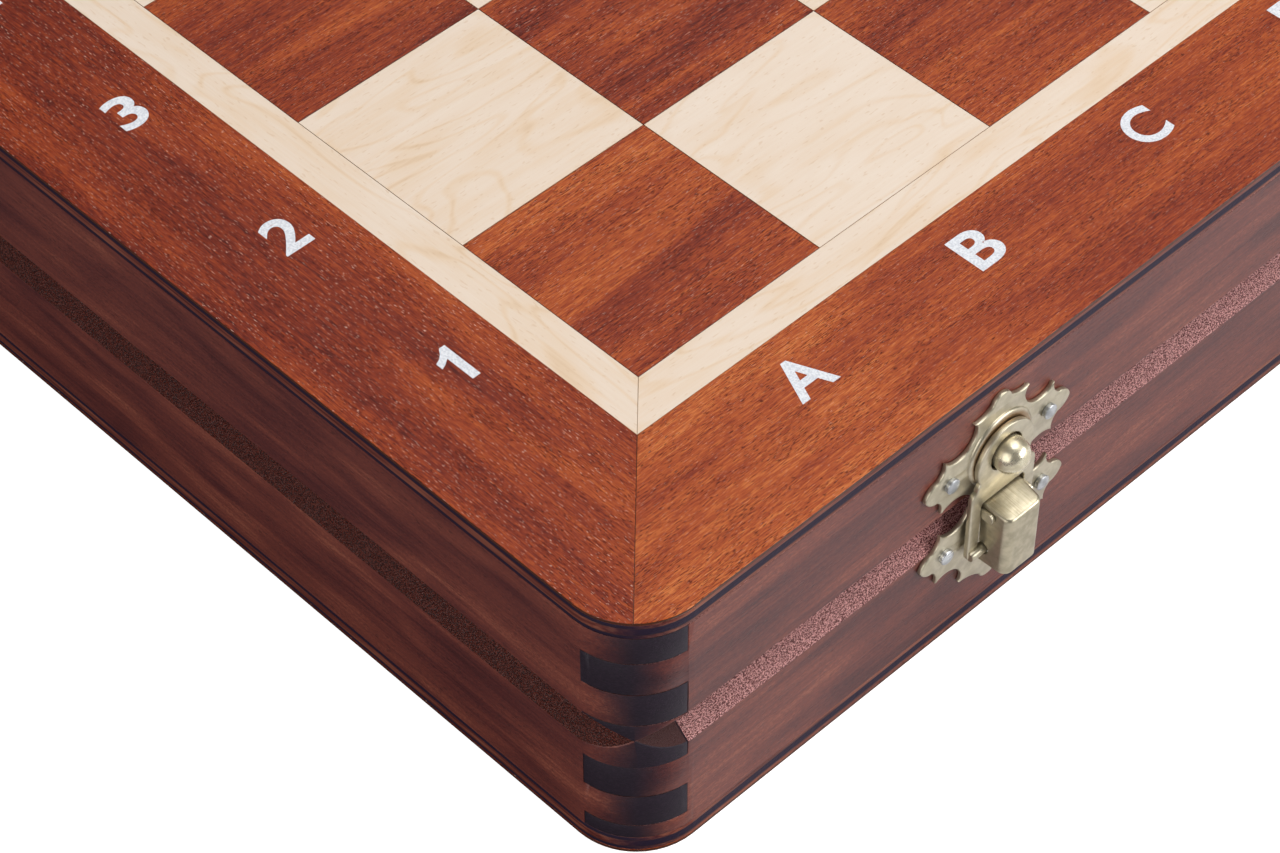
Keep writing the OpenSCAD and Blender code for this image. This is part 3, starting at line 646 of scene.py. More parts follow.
def outer_arris(edge):
    """True for the edges where the face of the border meets the outside of the case."""
    middle = (edge.verts[0].co + edge.verts[1].co) / 2
    near = 12 * mm
    level = all(min(v.co.z, case_h - v.co.z) < 1e-6 for v in edge.verts)
    past_strip = middle.y < front_y + near or abs(middle.x) > side_x - near
    outside = any(abs(f.normal.z) < 0.5 and f.normal.y < 0.999 for f in edge.link_faces)
    mitred = any(abs(abs(f.normal.x) - abs(f.normal.y)) < 1e-3 and f.calc_area() > 10 * mm * mm
                 for f in edge.link_faces)
    return level and past_strip and outside and not mitred


def sunk(mesh):
    """Lets the face down by the thickness of the print, so that the print ends level with it."""
    for vertex in mesh.vertices:
        vertex.co.z = min(max(vertex.co.z, print_depth), case_h - print_depth)
    return mesh


border_finishes = {axis: border_finish(axis) for axis in "XY"}
for half in halves:
    for side in ("front", "left", "right"):
        node = f"{half}_{side}_border"
        axis = "X" if side == "front" else "Y"
        mesh = sunk(eased(node, node, veneer_edge, 1, outer_arris, border_round))
        add_piece(node + "_veneer", mesh, border_finishes[axis], half + "_half", "mahogany_border", node)

# ------------------------------------------------------------------ coordinates
# The letters of the files and the numbers of the ranks, screen printed in white ink on the
# border: upright for one player along the near and left edges, turned round for the other.

cap_height = 7.3 * mm
letter_out = 15.3 * mm
number_out = 16.2 * mm
letter_left = 1.7 * mm
number_up = 1.5 * mm
ink_shades = ((214, 217, 224), (240, 242, 246))
thin_ink_shade = (186, 150, 138)
glyph_widths = {"A": 1.0, "B": 0.83, "C": 0.88, "D": 0.86, "E": 0.76, "F": 0.7, "G": 0.94, "H": 0.82,
                "1": 0.44, "2": 0.69, "3": 0.68, "4": 0.74, "5": 0.71, "6": 0.71, "7": 0.7, "8": 0.72}


def ink_finish():
    """Screen ink, a little uneven, and thin where it sinks into the open pores."""
    made, tree, place, normal = new_finish("white_ink")
    speck = patches(tree, place, (0.3, 0.3, 0.3))
    thin = patches(tree, place, (1.6, 0.25, 0.25), 1.0)
    colour = stained(tree, band(tree, speck, 0.35, 0.65), *map_srgb(ink_shades))
    colour = stained(tree, band(tree, thin, 0.66, 0.78, 0.0, 0.5), colour, srgb(*thin_ink_shade))
    dress(tree, colour, band(tree, speck, 0.3, 0.7, 0.45, 0.6))
    return made


def flat_curve(name, outlines, unit, extrude):
    """A flat filled curve from closed outlines, the holes among them."""
    line = bpy.data.curves.new(name, "CURVE")
    line.dimensions = "2D"
    line.fill_mode = "BOTH"
    line.extrude = extrude
    for points in outlines:
        spline = line.splines.new("POLY")
        spline.points.add(len(points) - 1)
        for knot, (x, y) in zip(spline.points, points):
            knot.co = (x * unit, y * unit, 0, 1)
        spline.use_cyclic_u = True
    return line


def figure_one():
    """The numeral 1 as an outline 1 high: a bar with a slanting flag and no foot."""
    flag = [(0.31, 1.0), (0.22, 0.87), (0.12, 0.79), (0.0, 0.735), (0.0, 0.56), (0.12, 0.61), (0.25, 0.7)]
    return flat_curve("mark", [[(0.45, 0.0), (0.45, 1.0), *flag, (0.25, 0.0)]], 1.0, 0.01)


def built_in(mark):
    """One character of the built-in face, made bold."""
    words = bpy.data.curves.new("mark", "FONT")
    words.body = mark
    words.size = 1.0
    words.offset = 0.022
    words.resolution_u = 8
    words.extrude = 0.01
    return words


def glyph(mark):
    """One bold character, its middle at the origin and its height the cap height."""
    mesh = baked(in_scene("mark", figure_one() if mark == "1" else built_in(mark)))
    low = Vector(map(min, *(v.co for v in mesh.vertices)))
    high = Vector(map(max, *(v.co for v in mesh.vertices)))
    middle = (low + high) / 2
    size = high - low
    width = glyph_widths[mark] * cap_height
    mesh.transform(Matrix.Translation(-middle))
    mesh.transform(Matrix.Diagonal((width / size.x, cap_height / size.y, print_depth / size.z, 1.0)))
    return mesh


def joined(name, meshes):
    """Several meshes as one, with their doubles merged."""
    shape = bmesh.new()
    for mesh in meshes:
        shape.from_mesh(mesh)
        bpy.data.meshes.remove(mesh)
    bmesh.ops.remove_doubles(shape, verts=shape.verts, dist=1e-7)
    return mesh_of(shape, name)


ink = ink_finish()
for half in halves:
    upper = half == "upper"
    way = 1 if upper else -1
    marks = []
    for row, name in enumerate("1234" if upper else "8765"):
        y = field_y + (row + 0.5) * square_w
        marks.append((name, False, field_x - number_out, y + way * number_up))
        marks.append((name, True, -field_x + number_out, y - way * number_up))
    for column, name in enumerate("ABCDEFGH"):
        x = field_x + (column + 0.5) * square_w - way * letter_left
        marks.append((name, not upper, x, field_y - letter_out))
    meshes = []
    face_z = case_h - print_depth / 2 if upper else print_depth / 2
    for name, turned_round, x, y in marks:
        mesh = glyph(name)
        if turned_round:
            mesh.transform(Matrix.Rotation(math.pi, 4, "Z"))
        if not upper:
            mesh.transform(Matrix.Rotation(math.pi, 4, "X"))
        mesh.transform(Matrix.Translation((x, y, face_z)))
        meshes.append(mesh)
    add_piece(half + "_coordinates", joined(half + "_coordinates", meshes), ink,
              half + "_half", "maple_veneer")

# ------------------------------------------------------------------ hinges
# Two brass butt hinges let into the back rims, each with five knuckles on a brass pin. Two
# slotted countersunk screws hold each leaf to the end of its board.

brass_shades = ((176, 136, 74), (198, 160, 94), (214, 180, 114))
brushed_shade = (116, 98, 62)
leaf_edge = 0.12 * mm


def plated_group():
    """The skin of pressed and plated sheet: fine cloudy tone, scuffs and a slight ripple."""
    tree, given = new_group("plated_skin", {"Ripple size": 1.2}, ["Cloud", "Scuffs", "Ripple"])
    in_mm = vectors(tree, "SCALE", given["Place"], 1 / mm)
    ripple = given["Ripple size"]
    cloud, scuffs, ripples = (
        noise(tree, vectors(tree, "DIVIDE", in_mm, size), detail) for size, detail in (
            ((1.6, 1.6, 1.6), 3.0), ((4.0, 0.25, 0.25), 1.0), (from_xyz(tree, ripple, ripple, ripple), 1.0)))
    put(tree, "NodeGroupOutput", {"Cloud": band(tree, cloud, 0.3, 0.7),
                                  "Scuffs": band(tree, scuffs, 0.62, 0.74), "Ripple": ripples})
    return tree


plated = plated_group()


def metal_finish(name, colours, rough_low, rough_high, ripple, ripple_depth, metal, brushed=None):
    """Plated or plain metal with ripples of a width and a depth in millimetres, and a top brushed
    in lines where brushed gives their size."""
    made, tree, place, normal = new_finish(name)
    sockets = {"Place": place, "Ripple size": ripple}
    skin = put(tree, "ShaderNodeGroup", sockets, node_tree=plated).outputs
    colour = shades(tree, skin["Cloud"], colours)
    colour = stained(tree, times(tree, skin["Scuffs"], 0.35), colour, srgb(*colours[-1]))
    relief = skin["Ripple"]
    if brushed:
        lines = times(tree, patches(tree, place, brushed), facing(tree, normal, 2))
        relief = summed(tree, relief, (lines, 0.8))
        colour = stained(tree, band(tree, lines, 0.45, 0.7, 0.0, 0.35), colour, srgb(*brushed_shade))
    rough = summed(tree, band(tree, skin["Cloud"], 0.0, 1.0, rough_high, rough_low), (skin["Scuffs"], 0.1))
    dress(tree, colour, rough, relief, ripple_depth, Metallic=metal)
    return made


def coat_node(node, finish):
    """Gives a plain round part its finish, and leaves its shape alone."""
    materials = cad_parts[node].data.materials
    materials.clear()
    materials.append(finish)


hinge_brass = metal_finish("hinge_brass", brass_shades, 0.26, 0.36, 2.0, 0.008, 0.95)
for half in halves:
    node = half + "_hinge_leaves"
    add_piece(node + "_brass", eased(node, node, leaf_edge, 2, gentle=40.0), hinge_brass,
              half + "_half", "hinge_brass", node)
coat_node("hinge_pins", hinge_brass)


def lathe(name, profile, steps):
    """A closed turned shape about the Z axis from (radius, height) points, bottom to top."""
    shape = bmesh.new()
    rings = []
    for radius, height in profile:
        if radius < 1e-9:
            rings.append([shape.verts.new((0, 0, height))])
            continue
        turns = (2 * math.pi * k / steps for k in range(steps))
        rings.append([shape.verts.new((radius * math.cos(t), radius * math.sin(t), height)) for t in turns])
    for low, high in zip(rings, rings[1:]):
        for k in range(steps):
            corners = [low[k % len(low)], low[(k + 1) % len(low)],
                       high[(k + 1) % len(high)], high[k % len(high)]]
            unique = list(dict.fromkeys(corners))
            if len(unique) > 2:
                shape.faces.new(unique).smooth = True
    for ring, turn in ((rings[0], -1), (rings[-1], 1)):
        if len(ring) > 1:
            shape.faces.new(ring[::turn])
    bmesh.ops.recalc_face_normals(shape, faces=shape.faces)
    mesh = mesh_of(shape, name)
    mesh.set_sharp_from_angle(angle=math.radians(38))
    return mesh


def points_in_line(tree, count, start, step):
    sockets = {"Count": count, "Start Location": start, "Offset": step}
    return put(tree, "GeometryNodeMeshLine", sockets).outputs[0]


def rotation(tree, angles):
    return put(tree, "FunctionNodeEulerToRotation", {0: angles}).outputs[0]


def paired_row():
    """Geometry nodes: two pairs of the same fastener in one row along X."""
    tree, given = growing_tree("paired_row", "Fasteners", Fastener="Object", Between_pairs="Float",
                               Within_a_pair="Float", Middle="Vector", Turned="Vector", Finish="Material")

    def two(apart):
        """Two points this far apart, evenly about the origin."""
        start = from_xyz(tree, times(tree, apart, -0.5))
        return points_in_line(tree, 2, start, from_xyz(tree, apart))

    pair = copies(tree, two(given["Within a pair"]), shape_of(tree, given["Fastener"]),
                  Rotation=rotation(tree, given["Turned"]))
    row = copies(tree, two(given["Between pairs"]), pair)
    return handed_out(tree, "Fasteners", moved_to(tree, row, given["Middle"]), given["Finish"])


row_tree = paired_row()
screw_low, screw_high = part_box("lower_hinge_screws")
hinge_x = (screw_high.x - screw_low.x) / 2
screw_head_r = (screw_high.y - screw_low.y) / 2
hinge_len = 30 * mm
screw_step = 0.6 * hinge_len
screw_head_t = 0.9 * mm
slot_w, slot_depth = 0.45 * mm, 0.4 * mm


def trimmed(host, cutters):
    """The mesh of an object with the cutters' shapes cut out of it; all the objects are removed."""
    bpy.context.view_layer.update()
    for cutter in cutters:
        trim = host.modifiers.new("trim", "BOOLEAN")
        trim.object = cutter
        trim.solver = "EXACT"
    made = baked(host)
    for cutter in cutters:
        bpy.data.objects.remove(cutter)
    return made


def slotted_screw():
    """A countersunk screw whose head ends level with z = 0, with a slot across it."""
    shank = screw_head_r / 2
    length = screw_high.z - screw_low.z
    profile = [(0, -length), (shank * 0.4, -length + 0.6 * mm), (shank, -length + 2 * mm),
               (shank, -screw_head_t), (screw_head_r - 0.05 * mm, -0.06 * mm),
               (screw_head_r - 0.12 * mm, -0.01 * mm), (0, -0.01 * mm)]
    slot = template(eased_block("slot", (3 * screw_head_r, slot_w, 2 * slot_depth), 0.02 * mm))
    return template(trimmed(template(lathe("screw", profile, 32)), [slot]))


screw = slotted_screw()
for half in halves:
    node = half + "_hinge_screws"
    low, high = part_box(node)
    upper = half == "upper"
    values = {"Fastener": screw, "Between pairs": 2 * hinge_x - screw_step - 2 * screw_head_r,
              "Within a pair": screw_step,
              "Middle": (0.0, (low.y + high.y) / 2, low.z if upper else high.z),
              "Turned": (math.pi if upper else 0.0, 0.0, math.radians(25)), "Finish": hinge_brass}
    add_piece(node + "_slotted", grown(node, row_tree, values), None, half + "_half", "hinge_brass", node)
bpy.data.objects.remove(screw)

# ------------------------------------------------------------------ latch plates
# Two toggle latches of thin brass-plated steel. Each has an upper and a lower plate with forked
# arms, blanked out of sheet 0.8 mm thick, with rounded rims, each held by two nails.

ball_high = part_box("ball_studs")[1]
plate_t = 0.8 * mm
plate_edge = 0.22 * mm
ball_r = 2.85 * mm
latch_x = ball_high.x - ball_r
ball_z = ball_high.z - ball_r - half_h
ball_out = 2.9 * mm
nail_x = 9.9 * mm
upper_nail_z = 10 * mm
lower_nail_z = -4.8 * mm
nail_d = 1 * mm
lever_w = 7.2 * mm
ear_t = 0.6 * mm
ear_r = 0.85
ear_gap = 0.1 * mm
pin_out, pin_z = 3.4 * mm, 0.4 * mm
dish_r, dish_rim = 5.6 * mm, 6.3 * mm
latch_shades = ((184, 175, 152), (192, 183, 160), (202, 193, 170))
# A painted reflection of the wood and painted shade, put in the dish round the ball.
dish_reflection_shade = (138, 98, 50)


def arc(start, end, sag, steps=10):
    """Points of an arc that bulges by sag to the left of its way; lengths are in millimetres."""
    a, b = Vector(start), Vector(end)
    half_way = (b - a).length / 2
    along = (b - a).normalized()
    left = Vector((-along.y, along.x))
    radius = (half_way ** 2 + sag ** 2) / (2 * sag)
    centre = (a + b) / 2 + left * (sag - radius)
    sweep = math.asin(half_way / abs(radius))
    points = []
    for k in range(steps):
        turn = -sweep + 2 * sweep * k / steps
        points.append(centre + along * abs(radius) * math.sin(turn)
                      + left * math.copysign(abs(radius) * math.cos(turn), radius))
    return points


def round_hole(x, z, radius, steps=28):
    return [Vector((x + radius * math.cos(2 * math.pi * k / steps),
                    z + radius * math.sin(2 * math.pi * k / steps))) for k in range(steps)]


def mirrored(points):
    """Half an outline, from its middle at the top to its middle at the bottom, made whole."""
    return points + [Vector((-p[0], p[1])) for p in reversed(points) if abs(p[0]) > 0.01]


def outline_through(*stretches):
    """One run of points: arcs as (start, end, sag, steps), and corners as (x, z)."""
    points = []
    for stretch in stretches:
        points += arc(*stretch) if len(stretch) > 2 else [Vector(stretch)]
    return points


def arm(z):
    """The forked arm round a nail at height z, from its top to its bottom."""
    x = nail_x / mm
    top, upper_cusp, tip = (x + 1.1, z + 4.8), (x + 2.4, z + 1.9), (x + 4.8, z - 0.2)
    lower_cusp, bottom = (x + 2.4, z - 2.2), (x + 1.4, z - 5.1)
    return ((top, upper_cusp, -0.5), (upper_cusp, tip, 0.5), (tip, lower_cusp, 0.5),
            (lower_cusp, bottom, -0.5))


def upper_outline():
    x, z, ball = nail_x / mm, upper_nail_z / mm, ball_z / mm
    crown, horn, waist = (1.8, ball + 9.1), (5.5, ball + 8.2), (4.9, ball + 5.9)
    corner = (5.6, 4.3)
    return mirrored(outline_through(
        ((0, ball + 10.5), crown, 0.4), (crown, horn, -0.4), (horn, waist, -0.4),
        (waist, (x + 1.1, z + 4.8), -1.9, 16), *arm(z), ((x + 1.4, z - 5.1), corner, -1.1, 14),
        (corner, (4.4, 3.8), 0.12, 4), (4.4, 3.8), (0, 3.8)))


def lower_outline():
    x, z = nail_x / mm, lower_nail_z / mm
    waist, horn, crown = (6.1, z - 6.8), (6.1, z - 9.1), (1.7, z - 10.9)
    return mirrored(outline_through(
        (0, 1), (4.9, 1), ((5.2, 1), (x + 1.1, z + 4.8), -1.9, 16), *arm(z),
        ((x + 1.4, z - 5.1), waist, -1.3, 12), (waist, horn, -0.4), (horn, crown, -0.4),
        (crown, (0, z - 12.1), 0.4), (0, z - 12.1)))


def sheet_metal(name, outline, holes, start, end, edge, turn):
    """A flat blank cut to an outline with holes, from start to end thick, with rounded edges."""
    line = flat_curve(name, (outline, *holes), mm, (end - start) / 2 - edge)
    line.bevel_depth = edge
    line.bevel_resolution = 2
    line.offset = -edge
    mesh = baked(in_scene(name, line))
    mesh.transform(Matrix.Translation((0, 0, (start + end) / 2)))
    mesh.transform(turn)
    shape = bmesh.new()
    shape.from_mesh(mesh)
    bmesh.ops.remove_doubles(shape, verts=shape.verts, dist=1e-6)
    bmesh.ops.recalc_face_normals(shape, faces=shape.faces)
    thick = turn.to_3x3() @ Vector((0, 0, 1))
    for face in shape.faces:
        face.smooth = abs(face.normal.dot(thick)) < 0.99
    shape.to_mesh(mesh)
    shape.free()
    mesh.set_sharp_from_angle(angle=math.radians(50))
    return mesh


# Local places on a latch: x across, -y off the case, z up from the split line.
standing = Matrix.Rotation(math.pi / 2, 4, "X")
sideways = Matrix(((0, 0, -1, 0), (-1, 0, 0, 0), (0, 1, 0, 0), (0, 0, 0, 1)))


def dished_ring():
    """The pressed ring round the ball: a raised rim, a hollow, and a seat for the ball."""
    profile = [(0, 0.4), (6.4, 0.5), (6.4, 0.82), (6.2, 1.12), (5.8, 1.26), (5.3, 1.24), (4.7, 1.1),
               (4.1, 0.98), (3.5, 0.96), (3.05, 1.08), (2.75, 1.26), (2.4, 1.3), (0, 1.3)]
    ring = lathe("ring", [(r * mm, h * mm) for r, h in profile], 64)
    ring.transform(Matrix.Translation((0, 0, ball_z)) @ standing)
    return ring


def on_latch(mesh, side):
    """A copy of the mesh on the left or the right latch, side -1 or 1."""
    made = mesh.copy()
    made.transform(Matrix.Translation((side * latch_x, front_y, half_h)))
    return made


def both_sides(name, meshes):
    """The same parts on both latches, as one mesh."""
    placed = [on_latch(mesh, side) for side in (-1, 1) for mesh in meshes]
    for mesh in meshes:
        bpy.data.meshes.remove(mesh)
    return joined_parts(name, placed)


def joined_parts(name, meshes):
    """Separate closed shells together in one mesh, with their sharp edges kept."""
    hosts = [template(mesh) for mesh in meshes]
    with bpy.context.temp_override(active_object=hosts[0], object=hosts[0],
                                   selected_objects=hosts, selected_editable_objects=hosts):
        bpy.ops.object.join()
    made = hosts[0].data
    made.name = name
    bpy.data.objects.remove(hosts[0])
    return made


def painted_dish_reflection(made):
    """Paints a brown reflection of the wood and the shade under the loop into the metal's colour, in the
    dish round the ball.
    """
    tree = made.node_tree
    place = put(tree, "ShaderNodeTexCoord").outputs["Object"]
    x, _, z = along(tree, place)
    across = maths(tree, "SUBTRACT", maths(tree, "ABSOLUTE", x), latch_x)
    up = maths(tree, "SUBTRACT", z, half_h + ball_z)
    from_ball = maths(tree, "SQRT", summed(tree, times(tree, across, across), (up, up)))
    blotches = patches(tree, place, (1.2, 1.2, 1.2))
    # The painted reflection and shade, strongest inside the dish, in blotches.
    dish = times(tree, band(tree, from_ball, dish_r, dish_rim, 0.8, 0.0),
                 band(tree, blotches, 0.2, 0.55, 0.5, 1.0))
    plating = tree.nodes["Principled BSDF"].inputs["Base Color"].links[0].from_socket
    repaint(tree, stained(tree, dish, plating, srgb(*dish_reflection_shade)))


def ear(side):
    """The lug beside the lever that carries its pin, bent forward from the lower plate."""
    out, z, root = pin_out / mm, pin_z / mm, 0.35
    points = [Vector((root, z + ear_r)), Vector((root, z - ear_r)), Vector((out, z - ear_r))]
    points += [Vector((out + ear_r * math.sin(t), z - ear_r * math.cos(t)))
               for t in (math.pi * k / 14 for k in range(1, 14))] + [Vector((out, z + ear_r))]
    inside = lever_w / 2 + ear_gap
    lug = sheet_metal("ear", points, [], inside, inside + ear_t, 0.1 * mm, sideways)
    if side > 0:
        lug.transform(Matrix.Translation((2 * inside + ear_t, 0, 0)))
    return lug


latch_steel, plate_steel = (metal_finish(name, latch_shades, 0.28, 0.36, 2.2, 0.01, 0.85)
                            for name in ("latch_plating", "plate_plating"))
# The plates' metal gets a painted reflection and painted shade in its dish.
painted_dish_reflection(plate_steel)
nail_holes = {"upper": upper_nail_z / mm, "lower": lower_nail_z / mm}
for half, outline in (("upper", upper_outline()), ("lower", lower_outline())):
    holes = [round_hole(side * nail_x / mm, nail_holes[half], nail_d / 2 / mm) for side in (-1, 1)]
    blank = sheet_metal("plate", outline, holes, 0.0, plate_t, plate_edge, standing)
    extras = [dished_ring()] if half == "upper" else [ear(-1), ear(1)]
    node = half + "_latch_plates"
    add_piece(node + "_plated", both_sides(node, [blank, *extras]), plate_steel, half + "_half",
              "latch_metal", node)

# ------------------------------------------------------------------ ball studs
# A polished ball of plated steel that the loop drops over. Its shank is riveted through the
# dished ring of the upper plate.

ball_shades = ((196, 186, 158), (214, 204, 176), (228, 220, 194))
stud_r = 1.2 * mm
stud_depth = 2 * mm
seat = 1.3 * mm


def ball_stud():
    sink = math.asin((seat - ball_out) / ball_r)
    turns = [sink + (math.pi / 2 - sink) * k / 26 for k in range(27)]
    profile = [(0, -stud_depth), (stud_r, -stud_depth), (stud_r, seat)]
    profile += [(max(ball_r * math.cos(t), 0.0), ball_out + ball_r * math.sin(t)) for t in turns]
    profile[-1] = (0, ball_out + ball_r)
    stud = lathe("stud", profile, 56)
    stud.transform(Matrix.Translation((0, 0, ball_z)) @ standing)
    return stud


ball_steel = metal_finish("ball_plating", ball_shades, 0.24, 0.36, 1.5, 0.012, 0.8)
add_piece("ball_studs_polished", both_sides("ball_studs", [ball_stud()]), ball_steel, "upper_half",
          "latch_metal", "ball_studs")

# ------------------------------------------------------------------ nails
# Round-headed steel nails, bright and unplated. Two hold each plate, driven into the board
# until their domed heads sit on the plate.

nail_shades = ((158, 160, 162), (186, 188, 190), (212, 214, 216))
nail_head_r = 1.25 * mm
nail_dome = 0.95 * mm
nail_side = 0.6 * mm
nail_len = 6 * mm


def nail():
    """A nail along Z whose head sits on z = 0."""
    dome = [(nail_head_r * math.cos(t), nail_side + (nail_dome - nail_side) * math.sin(t))
            for t in (math.pi / 2 * k / 9 for k in range(10))]
    dome[-1] = (0, nail_dome)
    shank = nail_d / 2
    return template(lathe("nail", [(0, -nail_len), (shank, -nail_len + mm), (shank, 0.02 * mm),
                                   (nail_head_r - 0.1 * mm, 0.02 * mm), *dome], 28))


nail_steel = metal_finish("nail_steel", nail_shades, 0.26, 0.38, 0.8, 0.02, 0.75)
one_nail = nail()
for half in halves:
    node = half + "_plate_nails"
    values = {"Fastener": one_nail, "Between pairs": 2 * latch_x, "Within a pair": 2 * nail_x,
              "Middle": (0.0, front_y - plate_t, half_h + nail_holes[half] * mm),
              "Turned": (math.pi / 2, 0.0, 0.0), "Finish": nail_steel}
    add_piece(node + "_domed", grown(node, row_tree, values), None, half + "_half", "nail_steel", node)
bpy.data.objects.remove(one_nail)

# ------------------------------------------------------------------ levers and their pins
# The lever is a box folded from one sheet, open behind and below: a front, a top with a seam
# along each side, and two flaps with a hole for the stub of the loop. It turns on a thin pin.

lever_out = 6.7 * mm
lever_back = 1.6 * mm
lever_drop = 9.8 * mm
lever_top = 2.1 * mm
lever_top_front = 1.4 * mm
lever_t = 0.7 * mm
lever_taper = 0.12 * mm
upright_bend, brow_bend, ridge_bend = 1.35 * mm, 0.55 * mm, 0.22 * mm
seam_t = 0.13 * mm
stub_z = 2.7 * mm - lever_drop
stub_out = 2.3 * mm
stub_hole_r = 1.12 * mm
brush_lines = (0.1, 4.0, 4.0)
lever_shades = ((170, 161, 138), (184, 175, 151), (196, 186, 160))


def folded_box():
    """The outside of the box, with its bends rounded: first the front's sides, then its brow."""
    shape = bmesh.new()
    w = lever_w / 2
    back_top = lever_top - 0.1 * mm
    back_left, back_right, front_left, front_right = (
        shape.verts.new((side * w, y, z))
        for y, z in ((-lever_back, back_top), (-lever_out, lever_top_front)) for side in (-1, 1))
    low_left, low_right, toe_left, toe_right = (
        shape.verts.new((side * (w - taper), y, -lever_drop))
        for y, taper in ((-lever_back, 0.0), (-lever_out, lever_taper)) for side in (-1, 1))
    for corners in ((back_left, front_left, front_right, back_right),
                    (front_left, toe_left, toe_right, front_right),
                    (back_left, low_left, toe_left, front_left),
                    (front_right, toe_right, low_right, back_right)):
        shape.faces.new(corners)
    bmesh.ops.recalc_face_normals(shape, faces=shape.faces)
    if max(shape.faces, key=lambda f: f.calc_center_median().z).normal.z < 0:
        bmesh.ops.reverse_faces(shape, faces=shape.faces)

    def bend(is_bend, radius, segments):
        edges = [e for e in shape.edges if len(e.link_faces) == 2 and is_bend(e)]
        return bmesh.ops.bevel(shape, geom=edges, offset=radius, segments=segments, profile=0.5,
                               affect="EDGES")["faces"]

    def upright(edge):
        return (all(v.co.y < -lever_out + 0.5 * mm for v in edge.verts)
                and abs(edge.verts[0].co.z - edge.verts[1].co.z) > mm)

    def brow(edge):
        return (edge.calc_face_angle(0.0) > math.radians(40)
                and all(v.co.y < -lever_out + 1.5 * mm and v.co.z > lever_top_front - 0.1 * mm
                        for v in edge.verts))

    bent = bend(upright, upright_bend, 7)
    bent += bend(brow, brow_bend, 4)
    bent += bend(lambda edge: edge.calc_face_angle(0.0) > math.radians(60), ridge_bend, 3)
    bent = {face for face in bent if face.is_valid}
    for face in shape.faces:
        face.smooth = face in bent or face.calc_area() < 4 * mm * mm
    return mesh_of(shape, "lever")


def lever():
    """The folded box with its wall, a seam under its top sheet, and its side holes."""
    host = template(folded_box())
    wall = host.modifiers.new("wall", "SOLIDIFY")
    wall.thickness = lever_t
    wall.offset = -1.0
    wall.use_even_offset = True
    cutters = []
    seam_size = (1.6 * lever_t, lever_out - lever_back - 0.9 * mm, seam_t)
    seam_y = -(lever_out + lever_back) / 2 + 0.6 * mm
    seam_z = (lever_top + lever_top_front) / 2 - lever_t - 0.12 * mm
    slope = math.atan2(lever_top - 0.1 * mm - lever_top_front, lever_out - lever_back)
    past_flap = 2 * mm
    hole_profile = [(0, -past_flap), (stub_hole_r, -past_flap), (stub_hole_r, past_flap), (0, past_flap)]
    for side_face in (-lever_w / 2, lever_w / 2):
        seam = template(eased_block("seam", seam_size, 0.01 * mm))
        seam.matrix_world = (Matrix.Translation((side_face, seam_y, seam_z))
                             @ Matrix.Rotation(slope, 4, "X"))
        hole = template(lathe("hole", hole_profile, 32))
        hole.matrix_world = (Matrix.Translation((side_face, -stub_out, stub_z))
                             @ Matrix.Rotation(math.pi / 2, 4, "Y"))
        cutters += [seam, hole]
    made = trimmed(host, cutters)
    made.set_sharp_from_angle(angle=math.radians(40))
    return made


lever_steel = metal_finish("lever_plating", lever_shades, 0.28, 0.38, 2.4, 0.008, 0.85, brush_lines)
one_lever = lever()
for side, word in ((-1, "left"), (1, "right")):
    node = word + "_lever"
    add_piece(node + "_folded", on_latch(one_lever, side), lever_steel, node + "_arm", "latch_metal", node)
coat_node("lever_pins", latch_steel)

# ------------------------------------------------------------------ loops
# The loop is a flat stamping: a ring that drops over the ball, a neck, and two arms whose ends
# are bent inwards as stubs into the flaps of the lever.

loop_back = 1.3 * mm
loop_t = 0.9 * mm
ring_r = 5.65
ring_z = ball_z / mm - 0.6
hole_r = 3.1
arm_in = lever_w / 2 / mm + 0.8
arm_out = arm_in + 2.1
neck_half, neck_z, window_top = 5.0, 5.2, 2.65
loop_edge = 0.2 * mm
stub_r = 0.86 * mm


def loop_outline():
    """The ring, the neck, an arm with a round end, and the window between the arms."""
    end = stub_z / mm
    shoulder = math.acos(neck_half / ring_r)
    arm_r = (arm_out - arm_in) / 2
    ring = [Vector((ring_r * math.cos(t), ring_z + ring_r * math.sin(t)))
            for t in (math.pi / 2 - (math.pi / 2 + shoulder) * k / 26 for k in range(27))]
    arm_end = [Vector(((arm_in + arm_out) / 2 + arm_r * math.cos(t), end + arm_r * math.sin(t)))
               for t in (-math.pi * k / 10 for k in range(11))]
    neck_top = (neck_half, ring_z - ring_r * math.sin(shoulder))
    neck_low, elbow = (neck_half + 0.5, neck_z + 0.4), (arm_out, neck_z - 1.2)
    window_side, window_corner = (arm_in, window_top - 0.7), (arm_in - 0.7, window_top)
    neck = outline_through((neck_top, neck_low, 0.1, 5), (neck_low, elbow, 0.35, 6), elbow)
    window = outline_through(window_side, (window_side, window_corner, -0.2, 5), window_corner,
                             (0, window_top))
    return mirrored(ring + neck + arm_end + window)


def loop_stub(side):
    """The bent end of an arm: a round stub that turns in the flap of the lever."""
    inner, outer = lever_w / 2 - 0.9 * mm, (arm_out - 0.25) * mm
    profile = [(0, inner), (0.7 * mm, inner), (stub_r, inner + 0.18 * mm), (stub_r, outer - 0.3 * mm),
               (0.75 * mm, outer), (0, outer + 0.05 * mm)]
    stub = lathe("stub", profile, 28)
    stub.transform(Matrix.Translation((0, -stub_out + 0.08 * mm, stub_z))
                   @ Matrix.Rotation(side * math.pi / 2, 4, "Y"))
    return stub


